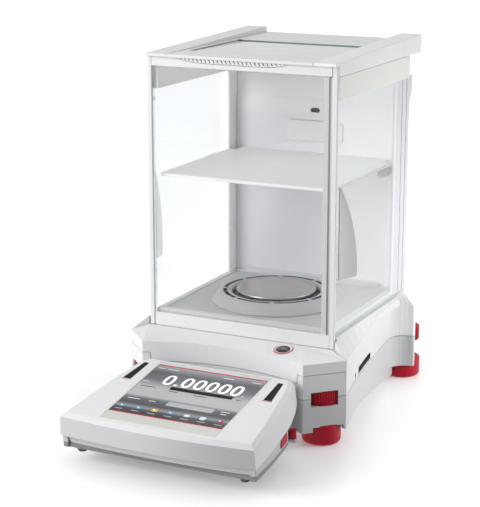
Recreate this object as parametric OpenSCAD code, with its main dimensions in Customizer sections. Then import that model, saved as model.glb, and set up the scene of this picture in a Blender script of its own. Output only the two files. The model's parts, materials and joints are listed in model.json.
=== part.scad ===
/* [Base] */
// Width of the base across its front corners
base_w = 230; // [224:1:240]
// Width of the base across its rear ears
ear_w = 214; // [208:1:222]
// Narrowest width of the base, ahead of the ears
waist_w = 174; // [170:1:180]
// Depth of the base from its front corners to its rear wall
base_d = 228.5; // [226:0.5:236]
// How far the inner ends of the front chamfers lie ahead of the corners
chamfer_d = 31; // [27:1:35]
// Half width of the hollowed front, between the chamfers
front_half = 84.5; // [82:0.5:88]
// Depth of the hollow in the front wall
front_sag = 20; // [14:1:24]
// Inward bow of the flanks
flank_sag = 3; // [0:0.5:6]
// Radius of the hollow ahead of each rear ear
flare_r = 18; // [14:1:20]
// Height of the housing floor above the bench
floor_z = 15; // [13:0.5:17]
// Height of the lower housing
lower_h = 32.5; // [30:0.5:36]
// Height of the upper housing up to its rim
upper_h = 34; // [32:0.5:38]
// Height of the front cover's wall
cover_h = 11; // [9:0.5:13]
// Rise of the front deck from its rim to the front glass
deck_rise = 5.2; // [3:0.1:7]
// Wall of the housings at their floor and roof
shell_t = 3; // [2:0.5:4]
// Rise of the arch ahead of each skid
arch_h = 3.5; // [2:0.5:6]
// Height of the skids' rear ends above the bench
skid_z = 5; // [4:0.5:8]
// Height of the shadow gaps between the housings
seam_h = 0.6; // [0.4:0.1:1]
// Depth of the shadow gaps between the housings
seam_d = 1.2; // [0.8:0.1:2]

/* [Levelling feet] */
// Radius of a foot
foot_r = 18.5; // [16:0.5:19]
// Height of a foot
foot_h = 20; // [18:0.5:21]
// Radius of a foot's spindle
spindle_r = 4; // [3:0.25:5]
// Radius of a thumbwheel over its ribs
wheel_r = 17.3; // [16:0.1:18.5]
// Number of ribs around a thumbwheel
wheel_ribs = 44; // [30:1:48]
// Height of the windows for the thumbwheels
window_h = 14.5; // [12:0.5:15]
// Width of the front windows for the thumbwheels
window_w = 27.5; // [24:0.5:30]
// How far the front windows lie ahead of the wheels' axes
window_set = 4; // [2:0.5:5]
// Front feet: distance from the middle of the base
foot_fx = 90.5; // [89:0.5:91]
// Rear feet: distance from the middle of the base
foot_rx = 88.5; // [87:0.5:89.5]
// Rear feet: distance of their axes ahead of the rear wall
foot_rear = 8; // [7:0.5:11]

/* [Draft shield] */
// Width over the corner posts and rails
shield_w = 196; // [194:1:200]
// Distance of the front posts behind the base's front corners
shield_set = 9.1; // [8:0.1:11]
// Height of the chamber, from its tray to the rails
chamber_h = 244.5; // [230:0.5:260]
// Depth of the chamber, from the front posts to the back wall
chamber_d = 176; // [172:0.5:180]
// Width of a front post
post_w = 5; // [4:0.5:6]
// Depth of a front post
post_d = 3.2; // [3:0.1:4]
// Width of the stile at the right of the front glass
stile_w = 5.2; // [4:0.1:6]
// Width of the channel between the stile and the right post
stile_gap = 3.5; // [2.5:0.1:4]
// Height of the apron under the front glass
apron_h = 13.3; // [11:0.1:15]
// Thickness of the glass panes
glass_t = 3; // [2.5:0.1:3.5]
// Width of a top rail
rail_w = 22.6; // [21.5:0.1:24]
// Height of the rails' flanks at the front
rail_h = 12.5; // [11.5:0.1:14]
// Rise of the rails from front to rear
rail_rise = 5.5; // [3:0.1:7]
// Overhang of the top plate ahead of the front posts
overhang = 3.3; // [2:0.1:4]
// Thickness of the top plate
plate_t = 3; // [2.5:0.1:3.5]
// Half width of the top door's window
sky_half = 70; // [66:0.5:71]
// Length of the top door's window
sky_l = 112; // [100:1:116]
// Half width of the ribbed grip of the top door
grip_half = 58.5; // [50:0.5:62]
// Place of the grip's middle across the top door
grip_x = -7; // [-10:1:10]
// Depth of the ribbed grip at its middle
grip_h = 4; // [3:0.1:5]
// Number of slits between the ribs of the grip
grip_ribs = 26; // [16:1:30]
// Height of the side doors' hangers
hanger_h = 21.7; // [18:0.1:25]
// Length of the side doors' hangers
hanger_l = 183; // [175:1:188]
// Height of the door handles
handle_h = 84; // [76:1:90]
// How far the door handles stand out from the glass
handle_t = 9; // [7:0.5:10]
// Length of the door handles along the doors
handle_w = 25; // [22:1:28]
// Height of the door handles' lower edges above the tray
handle_z = 54; // [46:1:60]
// Height of the shelf's top above the tray
shelf_z = 140; // [130:1:150]
// Thickness of the shelf
shelf_t = 3; // [2:0.5:4]
// Radius of a shelf knob
knob_r = 6; // [5:0.25:7]

/* [Weighing] */
// Diameter of the weighing pan
pan_d = 80; // [70:1:80]
// Height of the pan's top above the tray
pan_z = 18.7; // [17:0.1:22]
// Distance of the pan's centre behind the front posts
pan_set = 83.4; // [80:0.1:88]
// Outer radius of the draft ring
ring_r = 64; // [60:0.5:66]
// Number of slots in the draft ring
ring_slots = 8; // [6:1:10]
// Lift of the adjustment weight
cal_lift = 3; // [2:0.5:4]

/* [Terminal] */
// Width of the terminal at its front corners
term_w = 194; // [188:1:200]
// Width of the terminal at its rear
term_rear_w = 158; // [152:1:164]
// Length of the terminal's flanks
term_l = 128.7; // [122:0.1:132]
// Bow of the terminal's front
term_bow = 5; // [2:0.5:7]
// Bow of the terminal's flanks
term_side_bow = 2.5; // [0:0.5:4]
// Thickness of the terminal's upper shell at its front
term_t = 22; // [20:0.5:24]
// Thickness of the terminal's upper shell near its rear
term_deep = 30; // [26:0.5:31]
// Outward draft of the terminal's upper shell
term_draft = 1.2; // [0:0.1:2]
// Tilt of the terminal
term_tilt = 9.1; // [7:0.1:11]
// Height of the terminal's rear edge above the bench
term_z = 69.5; // [67:0.5:70]
// Height of the terminal's underside above the bench at its rear
term_low = 17; // [16:0.5:18]
// Fall of the terminal's underside towards its front
term_fall = 2.5; // [0:0.1:4]
// Height of the recess under the terminal's front edge
term_recess = 5.7; // [4:0.1:7]
// Gap between the terminal's rear edge and the base's chamfer ends
term_gap = 2.5; // [1:0.5:5]
// Half width of the screen
screen_half = 57; // [52:0.5:58]
// Length of the screen
screen_l = 96; // [90:0.5:97]
// Travel of the release buttons
button_travel = 2; // [1:0.5:3]

/* [Hidden] */

// Colours
white = [0.93, 0.93, 0.94];
cream = [0.88, 0.89, 0.87];
grey = [0.70, 0.71, 0.71];
dark = [0.16, 0.16, 0.17];
red = [0.78, 0.13, 0.18];
steel = [0.75, 0.74, 0.72];
clear = [0.80, 0.88, 0.86, 0.35];

// Clearances: bonded seats, running fits, sliding gaps, wheel pockets
seat = 0.2;
run_fit = 0.06;
slide_gap = 0.3;
pocket_gap = 1;

// Rounding steps of an arc, and facets of a true circle
arc_n = 6;
$fn = 64;

// Levels of the base, from the bench up
split_z = floor_z + lower_h;
rim_z = split_z + upper_h;
cover_z = rim_z - cover_h;
deck_z = rim_z + deck_rise;
sill_z = deck_z + apron_h;
tray_z = sill_z - 3;

// Plan of the base: the front corners lie at corner_y, the front looks along -Y
corner_x = base_w / 2;
corner_y = -37.3;
waist_x = waist_w / 2;
ear_x = ear_w / 2;
rear_y = corner_y + base_d;
ear_back = rear_y - 21;
waist_y = ear_back - 4 - flare_r;
rear_in = ear_x - 21;
front_r = (front_half * front_half + front_sag * front_sag) / (2 * front_sag);
skirt_h = 9;
front_cy = corner_y - chamfer_d + front_sag - front_r;
chamfer_len = norm([corner_x - front_half, chamfer_d]);
chamfer_a = atan2(chamfer_d, corner_x - front_half);

// Slot in the right flank and the small hole ahead of it
slot_l = 52;
slot_t = 6.8;
pin_r = 2.6;

// Feet
foot_fy = corner_y - 0.5;
foot_ry = rear_y - foot_rear;
pocket_lo = split_z - 0.55 * window_h;
pocket_hi = pocket_lo + window_h;
pocket_r = wheel_r + pocket_gap;
foot_sites = [["front_left", -foot_fx, foot_fy], ["front_right", foot_fx, foot_fy],
              ["rear_left", -foot_rx, foot_ry], ["rear_right", foot_rx, foot_ry]];

// Draft shield
shield_x = shield_w / 2;
shield_y = corner_y + shield_set;
post_x = shield_x - post_w;
post_y = shield_y + post_d;
back_y = shield_y + chamber_d;
rail_z = tray_z + chamber_h;
top_z = rail_z + rail_h;
plate_z = top_z - plate_t;
rail_x = shield_x - rail_w;
rail_y = shield_y - overhang;
rail_rear = rear_y - 0.5;
glass_out = shield_x - 1.5;
glass_in = glass_out - glass_t;
column_x = glass_in - 0.5;
column_in = column_x - 2.5;
column_y = back_y - 15.5;
tower_y = back_y + 25.4;
door_y = post_y + 0.5;
hanger_top = rail_z - slide_gap;
hanger_z = hanger_top - hanger_h;
hanger_in = shield_x - 9;
head_x = hanger_in - 0.5;
head_in = head_x - 5.5;
slot_x = shield_x - 7.5;
slot_neck = 2;
slot_head = 5;
slot_lip = 2.8;
slot_h = 4;
ledge_x = sky_half - 2;
ledge_z = plate_z - 4.8;
sky_y = rail_y + 34.7;
sky_z = top_z - 0.8 - glass_t;
stile_out = post_x - stile_gap;
stile_in = stile_out - stile_w;
frame_y = shield_y + 0.8;

// Weighing
pan_r = pan_d / 2;
pan_y = shield_y + pan_set;
pan_top = tray_z + pan_z;
block_x = column_x - 0.2;
block_y = post_y + 2.5;
rim_w = 6.3;
rim_h = 6;
floor_t = 5.5;
cell_z = floor_z + shell_t;
lever_z = cell_z + 52;
support_z = pan_top - 7.4;

// Terminal
term_y = corner_y - chamfer_d - term_gap;
term_half = term_w / 2;
term_rear = term_rear_w / 2;
term_cut = term_y - 34;
screen_y = -13.5;
button_y = term_y - 57.5;
button_l = 18;
button_z = term_low + 5.5;
button_h = 9;

function unit(v) = v / norm(v);
function mirrored(pts) = [for (i = [len(pts) - 1:-1:0]) [-pts[i].x, pts[i].y]];
function at_z(pts, z) = [for (p = pts) [p.x, p.y, z]];

// Arc that rounds the corner b between a and c
function corner_arc(a, b, c, r) =
    let (u = unit(a - b), v = unit(c - b), half = acos(u * v) / 2, o = b + unit(u + v) * r / sin(half))
    let (p = b + u * r / tan(half) - o, q = b + v * r / tan(half) - o)
    let (a0 = atan2(p.y, p.x), turn = (atan2(q.y, q.x) - a0 + 540) % 360 - 180)
    [for (i = [0:arc_n]) o + r * [cos(a0 + turn * i / arc_n), sin(a0 + turn * i / arc_n)]];

// Outline with each corner rounded by its own radius; zero keeps the corner sharp
function rounded(pts, radii) =
    let (n = len(pts))
    [for (i = [0:n - 1]) each radii[i] > 0
        ? corner_arc(pts[(i + n - 1) % n], pts[i], pts[(i + 1) % n], radii[i])
        : [pts[i]]];

// Right half of the hollowed front wall, inset by e
function front_half_pts(e) =
    [for (i = [0:8]) let (t = asin(front_half / front_r) * i / 8)
        [front_r * sin(t), front_cy + front_r * cos(t) + e]];

// Right flank from its front corner to the waist, bowed inwards, inset by e
function flank_pts(e) =
    [for (i = [0:10]) let (s = i / 10)
        [corner_x + (waist_x - corner_x) * s - 4 * flank_sag * s * (1 - s) - e,
         corner_y + (waist_y - corner_y) * s + e * (1 - s) / 2]];

// Hollow that opens the flank out to the rear ear
function flare_pts(e) =
    [for (i = [1:6]) let (t = 90 * i / 6)
        [waist_x + flare_r * (1 - cos(t)) - e, waist_y + flare_r * sin(t) + e * sin(t)]];

function ear_pts(e) = concat(
    corner_arc([waist_x + flare_r - e, ear_back - 4 + e], [ear_x - e, ear_back - 4 + e], [ear_x - e, ear_back], 1.5),
    [[ear_x - e, ear_back], [rear_in - e / 2, rear_y - e]]);

function housing_half(e) = concat(front_half_pts(e), flank_pts(e), flare_pts(e), ear_pts(e));

function housing_outline(e = 0) =
    let (half = housing_half(e))
    concat(half, [for (p = mirrored(half)) if (p.x < -0.01) p]);

// Front cover: the hollowed front, both chamfers and the line of the front glass
function cover_front(e) = concat(front_half_pts(e), [[corner_x - e, corner_y + e / 2]]);
function cover_outline(e = 0) =
    let (half = concat(cover_front(e), [[shield_x - e, shield_y]]))
    concat(half, [for (p = mirrored(half)) if (p.x < -0.01) p]);

// Plan of the terminal in its own tilted frame, rear edge on y = 0, inset by e
function term_side(e) =
    [for (i = [0:8]) let (s = i / 8)
        [term_half + (term_rear - term_half) * s + 4 * term_side_bow * s * (1 - s) - e,
         -term_l + term_l * s + (i == 0 ? e : 0)]];
function term_front(e) =
    [for (i = [0:6]) let (s = i / 6, x = (term_half - e) * s)
        [x, -term_l - term_bow * (1 - s * s) + e]];
function term_outline(e = 0) =
    let (side = [for (p = term_side(e)) if (p.y < -6) p])
    let (back = corner_arc([term_rear - e, -12], [term_rear - e, -e], [0, -e], 5))
    let (half = concat([for (i = [0:5]) term_front(e)[i]], side, back))
    concat(half, [for (p = mirrored(half)) if (p.x < -0.01) p]);

// Skin over stacked rings of equal length, each counter-clockwise seen from the last one
module loft(rings) {
    n = len(rings[0]);
    k = len(rings);
    top = (k - 1) * n;
    sides = [for (r = [0:k - 2], i = [0:n - 1]) let (j = (i + 1) % n, a = r * n, b = a + n)
        each [[a + i, b + i, b + j], [a + i, b + j, a + j]]];
    caps = [for (i = [1:n - 2]) each [[0, i, i + 1], [top, top + i + 1, top + i]]];
    polyhedron([for (r = rings) each r], concat(sides, caps));
}

module box(lo, hi) {
    translate(lo) cube(hi - lo);
}

// Prism from an outline in the Y-Z plane, from x = x0 to x = x1
module side_prism(pts, x0, x1) {
    translate([x0, 0, 0]) rotate([90, 0, 90]) linear_extrude(x1 - x0) polygon(pts);
}

// Prism from an outline in the X-Z plane, from y = y0 to y = y1
module front_prism(pts, y0, y1) {
    translate([0, y1, 0]) rotate([90, 0, 0]) linear_extrude(y1 - y0) polygon(pts);
}

module both_sides() {
    children();
    mirror([1, 0, 0]) children();
}

module at_feet() {
    for (s = foot_sites) translate([s[1], s[2], 0]) children();
}

// The terminal's own frame: rear edge of its top on y = 0, top face on z = 0
module term_frame() {
    translate([0, term_y, term_z]) rotate([term_tilt, 0, 0]) children();
}

// Pockets of the thumbwheels with the windows in the front chamfers
module wheel_pockets() {
    at_feet() translate([0, 0, pocket_lo]) cylinder(r = pocket_r, h = window_h);
    both_sides() translate([foot_fx, foot_fy, pocket_lo]) rotate([0, 0, chamfer_a - 90])
        translate([2 * spindle_r, -window_w / 2 - window_set, 0.2])
            cube([chamfer_len, window_w, window_h - 0.4]);
}

module spindle_bores(z0, z1) {
    at_feet() translate([0, 0, z0]) cylinder(r = spindle_r + run_fit, h = z1 - z0);
}

// Space inside the base, clear of the corner pockets
module base_cavity(z0, z1) {
    inner = foot_fx - pocket_r - shell_t;
    box([-inner, shield_y - 12, z0], [inner, rear_y - 4.5, z1]);
    wide = waist_x - 7;
    box([-wide, foot_fy + pocket_r + 5, z0], [wide, foot_ry - pocket_r - 5, z1]);
}

module socket_cutouts(e) {
    box([-47 - e, rear_y - 7, floor_z + 13 - e], [-17 + e, rear_y + 2, floor_z + 26 + e]);
    box([-7 - e, rear_y - 7, floor_z + 13 - e], [6 + e, rear_y + 2, floor_z + 25 + e]);
    box([14 - e, rear_y - 7, floor_z + 14 - e], [29 + e, rear_y + 2, floor_z + 21 + e]);
}

module lower_housing() color(white) {
    arch_y = [foot_fy + foot_r + 1, flank_pts(0)[5].y - 3];
    arch_half = (arch_y[1] - arch_y[0]) / 2;
    arch_r = (arch_half * arch_half + arch_h * arch_h) / (2 * arch_h);
    difference() {
        union() {
            translate([0, 0, floor_z]) linear_extrude(lower_h) polygon(housing_outline());
            both_sides() skid();
        }
        base_cavity(floor_z + shell_t, split_z + 1);
        wheel_pockets();
        spindle_bores(floor_z - 1, split_z + 1);
        at_feet() translate([0, 0, floor_z - 1])
            cylinder(r = foot_r + 0.7, h = foot_h - floor_z + 1 + slide_gap);
        both_sides() translate([foot_fx, foot_fy, floor_z - 1]) rotate([0, 0, chamfer_a - 90])
            translate([0, -15.5, 0]) cube([chamfer_len, 31, foot_h - floor_z + 0.5]);
        both_sides() translate([waist_x - 5, (arch_y[0] + arch_y[1]) / 2, floor_z + arch_h - arch_r])
            rotate([0, 90, 0]) cylinder(r = arch_r, h = base_w, $fn = 200);
        socket_cutouts(seat);
        translate([46, rear_y + 1, floor_z + 19.5]) rotate([90, 0, 0]) cylinder(r = 6 + seat, h = 8);
        bracket_holes();
    }
}

// Skid under a flank: the wall carried on downwards to the rear, straight on under the ear
module skid() {
    y1 = foot_ry - foot_r - 4;
    wall = [for (i = [5:10]) flank_pts(0)[i]];
    top = floor_z + 0.5;
    intersection() {
        translate([0, 0, skid_z - 1]) linear_extrude(top - skid_z + 1) polygon(concat(wall,
            [[waist_x - 1, y1], [waist_x - 9, y1]], [for (i = [5:-1:0]) [wall[i].x - 8, wall[i].y]]));
        side_prism([[wall[0].y, top], [wall[0].y, floor_z - 0.2], [y1, skid_z], [y1, top]], 0, base_w);
    }
}

// Blind holes under the floor for the bracket's screws
module bracket_holes() {
    for (x = [-30, 30]) translate([x, shield_y - 4, floor_z - 1]) cylinder(r = 1.6, h = shell_t);
}

// Sloping skirt: ruled from the rim of the base up to the sill of the doors and around the tower
module side_band() {
    inner = waist_x - 8;
    low = rim_z - 2;
    high = tray_z - 0.3;
    ledge = 0.3;
    side = shield_x - 0.6;
    slope = (shield_y - corner_y) / (corner_x - shield_x);
    crease = corner_y + slope * (corner_x - inner);
    flank = flank_pts(ledge);
    flare = flare_pts(ledge);
    side_sections = [for (i = [0:10]) let (y = shield_y + (waist_y - shield_y) * i / 10)
        [flank[i], [inner, i == 0 ? crease : max(y, crease + i)], [side, y]]];
    ear_sections = [for (i = [0:5]) let (s = (i + 1) / 6)
        [flare[i], [inner, waist_y + s * 8], [side - 3 * s, waist_y + s * (tower_y - 7 - waist_y)]]];
    back = rear_y - ledge;
    rear_sections = [[[ear_x - ledge, ear_back - 1], [inner, waist_y + 10], [side - 4, tower_y - 4]],
        [[(ear_x + rear_in) / 2 - ledge, (ear_back + rear_y) / 2 - ledge], [inner - 1, waist_y + 12],
         [side - 6, tower_y - 1]],
        [[rear_in - ledge, back], [inner - 3, waist_y + 13], [rear_in - 1, tower_y + 0.3]],
        [[-1, back], [-1, waist_y + 13], [-1, tower_y + 0.3]]];
    loft([for (q = concat(side_sections, ear_sections, rear_sections))
        [[q[0].x, q[0].y, low], [q[1].x, q[1].y, low], [q[1].x, q[1].y, high], [q[2].x, q[2].y, high],
         [q[0].x, q[0].y, rim_z]]]);
}

module upper_housing() color(white) {
    difference() {
        union() {
            translate([0, 0, split_z]) linear_extrude(seam_h + 0.01) polygon(housing_outline(seam_d));
            translate([0, 0, split_z + seam_h]) linear_extrude(upper_h - seam_h) polygon(housing_outline());
            box([-block_x, block_y, rim_z - 0.5], [block_x, tower_y, tray_z]);
            box([-post_x + 0.3, shield_y + 0.3, rim_z - 0.5], [post_x - 0.3, block_y + 0.5, deck_z]);
            both_sides() side_band();
            tray_rims();
        }
        cover_space();
        box([-shield_x - 1, shield_y - 1, deck_z], [shield_x + 1, block_y - 0.01, tray_z + 20]);
        base_cavity(split_z - 1, rim_z - shell_t);
        box([-62, block_y + 8, rim_z - shell_t - 0.01], [62, back_y - 10, tray_z - 5]);
        wheel_pockets();
        spindle_bores(split_z - 1, pocket_hi + 12);
        translate([0, pan_y, rim_z]) cylinder(r = 14, h = 30);
        slot_pocket();
        translate([corner_x, corner_y + 44, split_z + 5]) rotate([0, -90, 0]) cylinder(r = pin_r, h = 16);
    }
}

// Raised white rims around the chamber floor, higher at the rear
module tray_rims() {
    side_end = column_y - 0.3;
    box([-block_x, block_y, tray_z - 0.5], [block_x, block_y + rim_w, tray_z + rim_h]);
    both_sides() box([block_x - rim_w, block_y + 1, tray_z - 0.5], [block_x, side_end, tray_z + rim_h]);
    both_sides() box([block_x - rim_w, side_end - 1, tray_z - 0.5],
        [column_in - 0.3, back_y - 0.3, tray_z + rim_h]);
    rear = back_y - rim_w - 0.3;
    box([-block_x + 6, rear, tray_z - 0.5], [block_x - 6, back_y - 0.3, tray_z + rim_h]);
    box([-column_in + 16, rear, tray_z - 0.5], [column_in - 16, back_y - 0.3, tray_z + 10]);
}

// Room for the front cover above its seam, lower between the terminal's rear corners
module cover_space() {
    translate([0, 0, cover_z]) linear_extrude(30) polygon(cover_outline(-0.5));
    cover_skirt(front_half - 7, cover_z - skirt_h, cover_z + 0.1, 1);
}

// Middle of the front wall, where the cover reaches lower behind the terminal
module cover_skirt(half, z0, z1, ahead) {
    arc = concat([for (p = mirrored(front_half_pts(0))) if (p.x < -0.01) p], front_half_pts(0));
    intersection() {
        translate([0, 0, z0]) linear_extrude(z1 - z0) polygon(concat(
            [for (p = arc) [p.x, p.y - ahead]],
            [for (i = [len(arc) - 1:-1:0]) [arc[i].x, arc[i].y + 4 + (ahead > 0 ? seat : 0)]]));
        box([-half, corner_y - chamfer_d - 10, z0 - 1], [half, shield_y, z1 + 1]);
    }
}

// One cross-section of the front cover: p on the rim, at x = s on the line of the glass
function cover_section(p, z, s) =
    [[p.x, p.y, z], [s, shield_y, z], [s, shield_y, deck_z], [s, shield_y - 1.6, deck_z], [p.x, p.y, rim_z]];

module front_cover() color(white) {
    half = cover_front(0);
    line = concat([for (p = mirrored(half)) if (p.x < -0.01) p], half);
    difference() {
        union() {
            translate([0, 0, cover_z]) linear_extrude(seam_h + 0.01) polygon(cover_outline(seam_d));
            loft([for (p = line) cover_section(p, cover_z + seam_h, p.x * shield_x / corner_x)]);
            cover_skirt(front_half - 7 - seam_h, cover_z - skirt_h + seam_h, cover_z + seam_h + 0.1, 0);
        }
        level_place() translate([0, 0, -8]) cylinder(r = 8, h = 20);
        level_place() translate([0, 0, 0.1]) cylinder(r = 9.7, h = 12);
    }
}

// Seat of the round level in the sloping deck
module level_place() {
    edge = front_cy + sqrt(front_r * front_r - 52 * 52);
    y = corner_y - 3.5;
    slope = atan(deck_rise / (shield_y - edge));
    translate([52, y, rim_z + (y - edge) * tan(slope)]) rotate([slope, 0, 0]) children();
}

module level_bezel() color(red) {
    level_place() rotate_extrude() polygon(concat([[6.8, -6], [7.8, -6], [7.8, 0.3], [9.5, 0.3]],
        [for (t = [0:15:90]) [8.7 + 0.8 * cos(t), 0.5 + 0.8 * sin(t)]], [[8, 1.3], [6.8, 0.6]]));
}

module level_vial() color(dark) {
    level_place() rotate_extrude() polygon(concat([[0, -7], [7.6, -7], [7.6, -6.1], [6.6, -6.1]],
        [for (t = [0:15:90]) [6.6 * cos(t), -0.6 + 2.2 * sin(t)]]));
}

// Ribbed wheel turning on the foot's spindle
module thumbwheel(i) color(red) {
    step = 360 / wheel_ribs;
    rib = [for (k = [0:wheel_ribs - 1]) each
        [for (q = [[-0.30, 0.7], [-0.16, 0], [0.16, 0], [0.30, 0.7]])
            (wheel_r - q[1]) * [cos(step * (k + q[0])), sin(step * (k + q[0]))]]];
    translate([foot_sites[i][1], foot_sites[i][2], pocket_lo + slide_gap]) difference() {
        linear_extrude(window_h - 2 * slide_gap) polygon(rib);
        translate([0, 0, -1]) cylinder(r = spindle_r + run_fit, h = window_h + 2);
        translate([0, 0, window_h - 2.5]) difference() {
            cylinder(r = wheel_r - 3, h = 3);
            cylinder(r = spindle_r + 3, h = 3);
        }
    }
}

// Foot pad with a rolled lower edge and a threaded spindle
module foot(i) color(red) {
    translate([foot_sites[i][1], foot_sites[i][2], 0]) rotate_extrude() polygon(concat([[0, 0]],
        [for (t = [-90:15:0]) [foot_r - 4 + 4 * cos(t), 4 + 4 * sin(t)]],
        [for (t = [0:30:90]) [foot_r - 1.5 + 1.5 * cos(t), foot_h - 1.5 + 1.5 * sin(t)]],
        [[spindle_r, foot_h], [spindle_r, pocket_hi + 5], [spindle_r - 1, pocket_hi + 6], [0, pocket_hi + 6]]));
}

// Frame of the slot in the right flank: x out of the wall, y along it, z up from the slot's sill
module slot_frame() {
    s0 = flank_pts(0)[4];
    s1 = flank_pts(0)[6];
    a = atan2(s0.x - s1.x, s1.y - s0.y);
    translate([(s0.x + s1.x) / 2, (s0.y + s1.y) / 2, split_z + seam_h + 1.4]) rotate([0, 0, a])
        translate([0, -9 - slot_l / 2, 0]) children();
}

module slot_pocket() {
    slot_frame() translate([-6, 0, 0]) cube([20, slot_l, slot_t]);
}

// Dark lining of the slot, and the plug of the small hole ahead of it
module slot_liner() color(dark) {
    slot_frame() difference() {
        translate([-6 + seat, seat, seat]) cube([4.2, slot_l - 2 * seat, slot_t - 2 * seat]);
        translate([-4, 1.4, 1.4]) cube([5, slot_l - 2.8, slot_t - 2.8]);
    }
    translate([corner_x - 16 + seat, corner_y + 44, split_z + 5]) rotate([0, 90, 0])
        cylinder(r = pin_r - seat, h = 4.3);
}

module rear_sockets() color(dark) {
    difference() {
        intersection() {
            socket_cutouts(0);
            box([-100, rear_y - 6.8, 0], [100, rear_y + 0.8, split_z]);
        }
        front_prism(rounded([[-43, floor_z + 15], [-21, floor_z + 15], [-19, floor_z + 24],
            [-45, floor_z + 24]], [1.5, 1.5, 1.5, 1.5]), rear_y - 4, rear_y + 3);
        box([-4.5, rear_y - 4, floor_z + 15], [3.5, rear_y + 3, floor_z + 23]);
        box([15.5, rear_y - 4, floor_z + 15.2], [27.5, rear_y + 3, floor_z + 19.8]);
    }
}

module power_inlet() color(dark) {
    translate([46, rear_y + 0.8, floor_z + 19.5]) rotate([90, 0, 0]) difference() {
        cylinder(r = 6, h = 7.6);
        translate([0, 0, -1]) difference() {
            cylinder(r = 3.2, h = 6);
            cylinder(r = 1, h = 6);
        }
    }
}

// Force cell: an aluminium frame relieved by flexure slots
module weigh_cell() color(steel) {
    z0 = cell_z;
    difference() {
        box([-30, pan_y - 40, z0], [30, pan_y + 90, z0 + 42]);
        for (z = [z0 + 8, z0 + 32]) {
            box([-31, pan_y - 26, z], [31, pan_y + 26, z + 2]);
            for (y = [-26, 26]) translate([-31, pan_y + y, z + 1]) rotate([0, 90, 0]) cylinder(r = 3, h = 62);
        }
        box([-31, pan_y - 22, z0 + 14], [31, pan_y + 22, z0 + 28]);
        box([-12, pan_y + 34, z0 + 12], [12, pan_y + 84, z0 + 43]);
    }
}

module weigh_lever() color(steel) {
    difference() {
        union() {
            box([-8, pan_y - 20, cell_z + 42], [8, pan_y + 24, lever_z]);
            box([-5, pan_y + 24, cell_z + 44], [5, pan_y + 56, cell_z + 50]);
        }
        translate([0, pan_y + 40, cell_z + 40]) cylinder(r = 2.5, h = 20);
    }
}

module coil_magnet() color(grey) {
    translate([0, pan_y + 72, cell_z + 12]) difference() {
        cylinder(r = 11.8, h = 44);
        translate([0, 0, 36]) difference() {
            cylinder(r = 9, h = 10);
            cylinder(r = 5, h = 10);
        }
    }
}

module cal_motor() color(dark) {
    translate([50, pan_y + 2, cell_z]) {
        cylinder(r = 10, h = 22);
        cylinder(r = 4, h = 24);
    }
}

module cal_screw() color(steel) {
    translate([50, pan_y + 2, cell_z + 24 + slide_gap]) {
        cylinder(r = 2, h = 34);
        cylinder(r = 3.4, h = 2);
    }
}

module cal_weight() color(steel) {
    translate([50, pan_y + 2, cell_z + 32]) difference() {
        union() {
            cylinder(r = 14, h = 12);
            translate([0, 0, 11.9]) cylinder(r = 6, h = 6);
        }
        translate([0, 0, -1]) cylinder(r = 2 + run_fit, h = 30);
        translate([0, 0, -1]) cylinder(r = 3.8, h = 2 + cal_lift);
    }
}

module mainboard() color([0.15, 0.36, 0.22]) {
    z0 = cell_z;
    for (x = [-72, -42], y = [pan_y - 36, pan_y + 66]) translate([x, y, z0]) cylinder(r = 3, h = 10.01);
    box([-76, pan_y - 40, z0 + 10], [-38, pan_y + 70, z0 + 11.6]);
    for (k = [0:3]) box([-70, pan_y - 30 + 24 * k, z0 + 11.59], [-56, pan_y - 16 + 24 * k, z0 + 14]);
    box([-50, pan_y - 20, z0 + 11.59], [-42, pan_y + 30, z0 + 19]);
}

module pan_support() color(steel) {
    translate([0, pan_y, 0]) {
        translate([0, 0, lever_z]) cylinder(r = 5, h = support_z - lever_z + 3);
        translate([0, 0, support_z - 4]) cylinder(r = 8, h = 4);
    }
}

module weighing_pan() color(steel) {
    t = pan_top;
    translate([0, pan_y, 0]) rotate_extrude($fn = 96) polygon(concat([[0, support_z + 3.3], [5.2, support_z + 3.3],
        [5.2, support_z + seat], [9, support_z + seat], [9, t - 3.4], [pan_r - 3, t - 3.4]],
        [for (a = [-90:22.5:90]) [pan_r - 1.7 + 1.7 * cos(a), t - 1.7 + 1.7 * sin(a)]],
        [[pan_r - 4, t - 0.5], [0, t - 0.5]]));
}

// Raised ring around the pan, with slots for the falling air
module draft_ring() color(cream) {
    z = tray_z + floor_t + seat;
    r0 = pan_r + 4;
    top = z + 10.9;
    translate([0, pan_y, 0]) difference() {
        rotate_extrude($fn = 96) polygon([[ring_r - 2.5, z], [ring_r, z], [ring_r, z + 1.6],
            [ring_r - 0.8, z + 2.6], [ring_r - 5.5, z + 7.8], [ring_r - 8, top - 0.7], [ring_r - 10, top],
            [r0 + 3, top], [r0 + 1, top - 0.7], [r0, top - 1.7], [r0, top - 4], [r0 + 3, top - 2.6],
            [ring_r - 10, top - 2.6], [ring_r - 7.5, top - 4.2]]);
        for (k = [0:ring_slots - 1]) rotate([0, 0, 360 / ring_slots * (k - 0.5)])
            translate([0, 0, z]) rotate_extrude(angle = 320 / ring_slots, $fn = 96)
                translate([r0 + 5.3, 0]) square([3.7, 12]);
    }
}

module floor_plate() color(grey) {
    x = block_x - rim_w - 0.3;
    difference() {
        linear_box([-x, block_y + rim_w + 0.3], [x, back_y - rim_w - 0.6], tray_z, floor_t);
        translate([0, pan_y, tray_z - 1]) cylinder(r = 30, h = 10);
    }
}

module linear_box(lo, hi, z, h) {
    translate([0, 0, z]) linear_extrude(h) polygon(rounded([lo, [hi.x, lo.y], hi, [lo.x, hi.y]], [3, 3, 3, 3]));
}

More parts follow.
